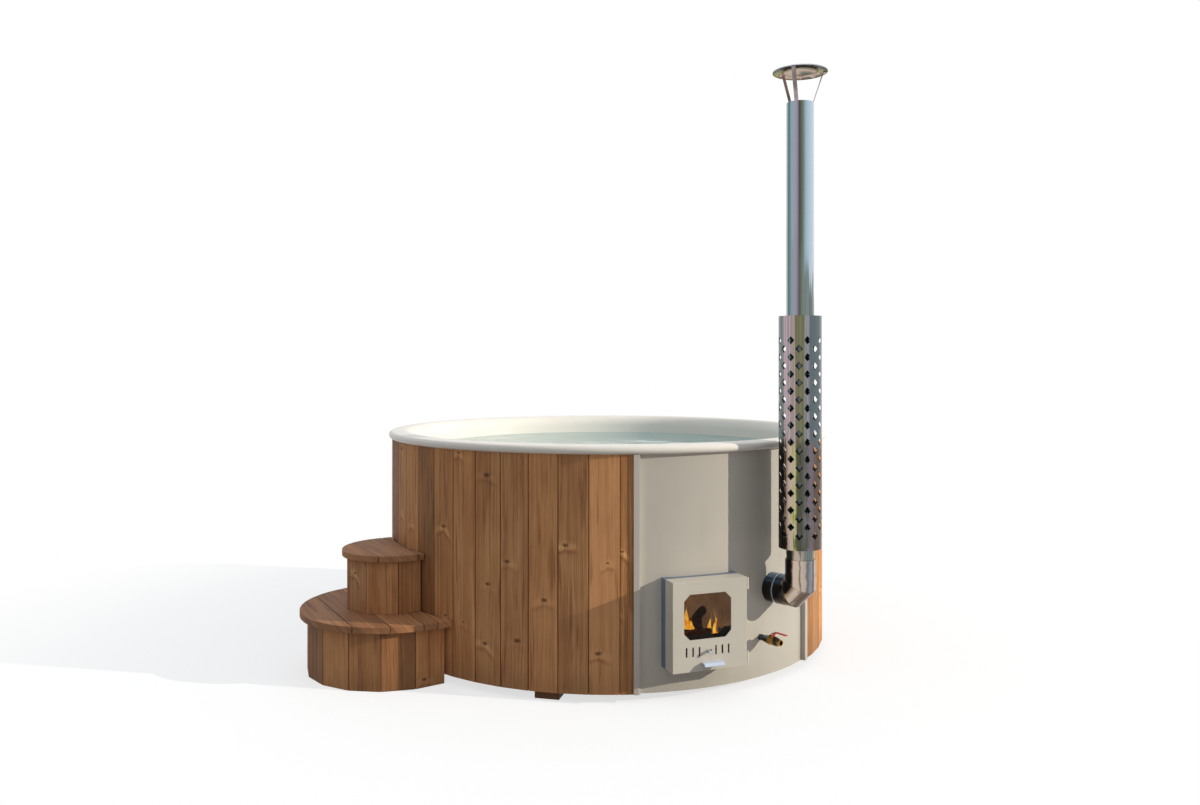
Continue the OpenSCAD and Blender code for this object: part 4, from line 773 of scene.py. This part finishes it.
def lathe(name, profile, steps, close=True):
    """Turns a profile of (radius, height) about the tub's axis; points on the axis close it."""
    verts, faces, rows = [], [], []
    for r, z in profile:
        if r < 1e-6:
            rows.append([len(verts)])
            verts.append((0, 0, z))
        else:
            rows.append(list(range(len(verts), len(verts) + steps)))
            turns = [math.tau * i / steps for i in range(steps)]
            verts += [(r * math.cos(t), r * math.sin(t), z) for t in turns]
    for a, b in zip(rows, rows[1:] + rows[:1] if close else rows[1:]):
        for i in range(steps):
            j = (i + 1) % steps
            if len(a) > 1 and len(b) > 1:
                faces.append((a[i], a[j], b[j], b[i]))
            elif len(a) > 1:
                faces.append((a[i], a[j], b[0]))
            elif len(b) > 1:
                faces.append((a[0], b[j], b[i]))
    mesh = bpy.data.meshes.new(name)
    mesh.from_pydata(verts, [], faces)
    mesh.update()
    bm = bmesh.new()
    bm.from_mesh(mesh)
    bmesh.ops.recalc_face_normals(bm, faces=bm.faces)
    bm.to_mesh(mesh)
    bm.free()
    return smooth(mesh, 40)


def arc(c, r, a0, a1, n):
    """Points on an arc from one angle to another, in n steps."""
    turns = [rad(a0 + (a1 - a0) * i / n) for i in range(n + 1)]
    return [(c[0] + r * math.cos(t), c[1] + r * math.sin(t)) for t in turns]


def liner(lean=3.44, under=27.58):
    """The moulded shell in one turn: footwell, seat, backrest and rim, then back below them.
    lean is the rim's slope and under where the shell ends below the rim, in degrees."""
    foot, edge, seat = (0.455, 0.195), (0.523163, 0.453), (0.792487, 0.518)
    roll, bead = (0.948, 0.906), (0.9977, 0.947)
    skin = ([(0, 0.170)] + arc(foot, 0.025, -90, -4, 8) + arc(edge, 0.025, 176, 90, 10)
            + arc(seat, 0.040, -90, -8, 12) + arc(roll, 0.060, 172, 90 - lean, 20)
            + arc(bead, 0.016, 90 - lean, -90, 20))
    shell = (arc(roll, 0.054, 180 - under, 172, 4) + arc(seat, 0.046, -8, -90, 10)
             + arc(edge, 0.019, 90, 176, 8) + arc(foot, 0.031, -4, -90, 8) + [(0, 0.164)])
    return lathe("tub_liner_look", skin + shell, 240)


link("tub_liner_look", liner(), "liner", "tub", "tub_liner")


def water_surface(rings=40, inner=0.02, swell=0.0022):
    """The bath's surface: low waves that calm down towards the liner."""
    radii = [inner + (WATER_R - inner) * i / rings for i in range(rings + 1)]
    mesh = lathe("bath_water", [(0, WATER_Z)] + [(r, WATER_Z) for r in radii], 160, close=False)
    for v in mesh.vertices:
        x, y = v.co.xy
        calm = min(1.0, (WATER_R - v.co.xy.length) / 0.05)
        v.co.z += calm * swell * (noise.noise(Vector((x * 5.5, y * 5.5, 0.3))) +
                                  0.4 * noise.noise(Vector((x * 17, y * 17, 4.1))))
    for p in mesh.polygons:
        if p.normal.z < 0:
            p.flip()
    return mesh


link("bath_water", water_surface(), "water", "tub")

# Wood
for n in ("cladding_left", "cladding_rear_left", "cladding_rear", "cladding_rear_right", "cladding_right",
          "cladding_edge_strips"):
    look(n, "cladding", bevel=0.0007, segments=1)
look("step_lower_risers", "lower_risers", bevel=0.0016)
look("step_upper_risers", "upper_risers", bevel=0.0016)
look("step_lower_tread", "lower_tread", bevel=0.0035, segments=3, limit=50)
look("step_upper_tread", "upper_tread", bevel=0.0035, segments=3, limit=50)
look("base_beam_centre", "beams", bevel=0.002)
look("base_beams_side", "beams", bevel=0.002)
dress("joists", "floor_joists")
dress("posts", "bench_posts", "frame_posts")
dress("plywood", "base_deck", "ring_middle", "ring_upper", "step_ribs")

# Panel and stove
look("front_panel", "panel", bevel=0.0005, segments=1, angle=25)
dress("liner", "circulation_grilles")
dress("stove", "circulation_pipes", "hinge_pins", "flue_spigot", "glass_clips", "slide_guides",
      "air_slide_plate")
dress("firebox", "firebox_shell", "smoke_baffle", "boiler_jacket")
dress("inner_plate", "door_inner_plate")
dress("soot", "boiler_bearers", "fire_grate", "ash_pan")
look("door_frame", "frame", bevel=0.0008)
look("frame_hinge_barrels", "door", bevel=0.0006)
look("door_pan", "door", bevel=0.0012)
look("door_pull", "pull", bevel=0.0007)
look("door_hinge_barrels", "door", bevel=0.0006)
dress("rope", "door_seal")
dress("glass", "door_glass")
look("air_knob", "bright", bevel=0.0004)

# Chimney
round_faces(look("flue_pipe", "pipe").data, CHIMNEY, [(0.0535, 1), (0.0515, -1)])
round_faces(look("heat_shield", "shield").data, CHIMNEY, [(0.0825, 1), (0.081, -1)])
look("flue_elbow", "elbow", bevel=0.0004, segments=1)
look("flue_collar", "collar", bevel=0.0005)
look("flue_band", "bright", bevel=0.0004)
look("shield_spacers", "bright", bevel=0.0003)
look("cap_straps", "strap", bevel=0.0003)
look("chimney_cap", "cap", angle=30)

# Drain
look("drain_nipple", "nipple")
look("drain_reducer", "collar", bevel=0.0004)
look("valve_body", "brass", bevel=0.0006)
look("valve_nut", "nut", bevel=0.0007)
look("valve_outlet", "brass", bevel=0.0005)
look("valve_stem", "brass", bevel=0.0003)
look("valve_lever", "lever", bevel=0.0007)
look("lever_nut", "bright", bevel=0.0004)
dress("bright", "valve_ball")


# Fire
def in_stove(x, r, z):
    """A point behind the door, in millimetres: to the right, from the tub's axis and up."""
    return spot(DOOR, r / 1000, x / 1000, z / 1000)


def tube(rows, n):
    """The side faces of a tube: rows of n faces, over rings of n points."""
    return [(i * n + k, i * n + (k + 1) % n, (i + 1) * n + (k + 1) % n, (i + 1) * n + k)
            for i in range(rows) for k in range(n)]


def solid(name, verts, faces, mat, sharp=None):
    """A piece of the fire, on the tub."""
    mesh = bpy.data.meshes.new(name)
    mesh.from_pydata([tuple(v) for v in verts], [], faces)
    link(name, smooth(mesh, sharp), mat, "tub")


def log(name, a, b, r, seed, rows=18, n=22):
    """A split, charred log between two points."""
    a, b = in_stove(*a), in_stove(*b)
    r /= 1000
    axis = (b - a).normalized()
    side = axis.orthogonal().normalized()
    up = axis.cross(side)
    verts = []
    for i in range(rows + 1):
        p = a.lerp(b, i / rows)
        for k in range(n):
            w = math.tau * k / n
            d = side * math.cos(w) + up * math.sin(w)
            split = 1 - 0.18 * abs(math.sin(w * 1.5 + seed))
            lumps = 0.22 * noise.noise((p + d * r) * 38 + Vector((seed, 0, 0)))
            chips = 0.10 * noise.noise((p + d * r) * 120)
            end = 0.86 if i in (0, rows) else 1.0
            verts.append(p + d * (r * split * (1 + lumps + chips) * end))
    faces = tube(rows, n)
    for row, middle in ((0, a + axis * (r * 0.08)), (rows, b - axis * (r * 0.08))):
        c = len(verts)
        verts.append(middle)
        for k in range(n):
            rim = (row * n + k, row * n + (k + 1) % n)
            faces.append((*(rim if row else rim[::-1]), c))
    solid(name, verts, faces, "char", 50)


log("firewood_1", (-56, 882, GRATE + 24), (100, 880, GRATE + 17), 17, 1.0)
log("firewood_2", (-84, 846, GRATE + 22), (80, 852, GRATE + 16), 22, 2.3)
log("firewood_3", (6, 868, GRATE + 30), (108, 808, GRATE + 90), 19, 4.1)
log("firewood_4", (-40, 790, GRATE + 24), (104, 782, GRATE + 26), 26, 5.7)
log("firewood_5", (60, 858, GRATE + 42), (84, 834, GRATE + 62), 7, 3.3)


def tongue(name, foot, height, width, lean, seed, rows=22, n=14):
    """A flame: a closed leaf that narrows upwards and sways."""
    base = in_stove(*foot)
    right, out = spot(DOOR, 0, 1.0), spot(DOOR, 1.0)
    verts = []
    for i in range(rows + 1):
        t = i / rows
        leaf = math.sin(math.pi * min(1.0, t * 1.25 + 0.10) ** 0.8) ** 0.9
        half = max(width / 2000 * leaf, 0.0004)
        sway = (lean * t * t + 7 * math.sin(t * 6.5 + seed) * t) / 1000
        back = 0.003 * math.sin(t * 8 + seed * 2)
        c = base + Vector((0, 0, height / 1000 * t)) + right * sway + out * back
        for k in range(n):
            w = math.tau * k / n
            ruffle = noise.noise(Vector((math.cos(w) * 1.3, t * 5 + seed, math.sin(w) * 1.3)))
            wide = half * (1 + 0.28 * ruffle)
            verts.append(c + right * (wide * math.cos(w)) + out * (0.45 * wide * math.sin(w)))
    ends = [tuple(reversed(range(n))), tuple(rows * n + k for k in range(n))]
    solid(name, verts, tube(rows, n) + ends, "flame")


tongue("flame_1", (0, 878, GRATE + 4), 156, 24, 6, 0.4)
tongue("flame_7", (-12, 874, GRATE + 4), 132, 26, -2, 5.1)
tongue("flame_2", (20, 880, GRATE + 8), 84, 26, -6, 1.9)
tongue("flame_3", (98, 880, GRATE + 4), 90, 17, 4, 3.1)
tongue("flame_4", (114, 893, GRATE + 2), 104, 15, 3, 4.4)
tongue("flame_5", (110, 896, GRATE), 34, 30, 4, 5.2)
tongue("flame_6", (34, 862, GRATE + 18), 44, 16, 6, 2.6)


# Stage
def floor(half=30, drop=0.0005, fade=(1.6, 3.6)):
    """Pale floor: it takes the shadows near the tub and fades to white, and lights the tub as dull grey."""
    g = Graph("studio_floor")
    x, y, z = g.place()
    dull = g.add("BsdfDiffuse", Color=(0.29, 0.28, 0.27, 1)).outputs[0]
    pale = g.add("BsdfDiffuse", Color=(0.36, 0.36, 0.36, 1)).outputs[0]
    lift = g.add("Emission", Color=(1, 1, 1, 1), Strength=0.68).outputs[0]
    white = g.add("Emission", Color=(1, 1, 1, 1), Strength=1.0).outputs[0]
    near = g.add("AddShader")
    g.put(near.inputs[0], pale)
    g.put(near.inputs[1], lift)
    shown = g.blend(g.span(g.length(x, y), *fade), near.outputs[0], white)
    g.surface(g.blend(g.seen(), dull, shown))
    mesh = bpy.data.meshes.new("floor")
    mesh.from_pydata([(-half, -half, 0), (half, -half, 0), (half, half, 0), (-half, half, 0)], [],
                     [(0, 1, 2, 3)])
    ob = bpy.data.objects.new("floor", mesh)
    ob.location.z = -drop
    bpy.context.scene.collection.objects.link(ob)
    mesh.materials.append(g.owner)


floor()


def studio(low=0.13, high=0.88):
    """White where it's seen, and a soft cool light that grows with height."""
    g = Graph("studio", world=True)
    bpy.context.scene.world = g.owner
    up = g.add("SeparateXYZ", Vector=g.add("TexCoord").outputs["Generated"]).outputs[2]
    strength = g.span(up, 0.0, 1.0, low, high, smooth=False)
    fill = g.add("Background", Color=(0.88, 0.94, 1.0, 1), Strength=strength)
    white = g.add("Background", Color=(1, 1, 1, 1), Strength=1.0)
    g.surface(g.blend(g.seen(), fill.outputs[0], white.outputs[0]))


studio()


def sunlight(bearing=48.0, height=20.0, power=3.1, width=0.4):
    """Low warm sun from the front right. It's kept out of the mirrors in the polished steel."""
    sun = bpy.data.lights.new("key", "SUN")
    sun.energy, sun.angle, sun.color = power, rad(width), (1.0, 0.955, 0.85)
    ob = bpy.data.objects.new("key", sun)
    to_sun = spot(bearing, math.cos(rad(height)), 0.0, math.sin(rad(height)))
    ob.rotation_mode = "QUATERNION"
    ob.rotation_quaternion = to_sun.to_track_quat("Z", "Y")
    ob.visible_glossy = False
    bpy.context.scene.collection.objects.link(ob)


sunlight()


def camera(at=(-2.395, -3.970, 1.285), towards=(0.5105, 0.8599, 0), lens=29.214, shift=-0.0355):
    """The photo's camera, level and turned to the tub."""
    cam = bpy.data.cameras.new("camera")
    ob = bpy.data.objects.new("camera", cam)
    bpy.context.scene.collection.objects.link(ob)
    cam.sensor_fit, cam.sensor_width, cam.lens = "HORIZONTAL", 36.0, lens
    cam.shift_y = shift
    cam.clip_start, cam.clip_end = 0.05, 100
    ob.location = at
    ob.rotation_mode = "QUATERNION"
    ob.rotation_quaternion = Vector(towards).to_track_quat("-Z", "Y")
    bpy.context.scene.camera = ob
    bpy.context.scene.view_settings.view_transform = "Standard"


camera()
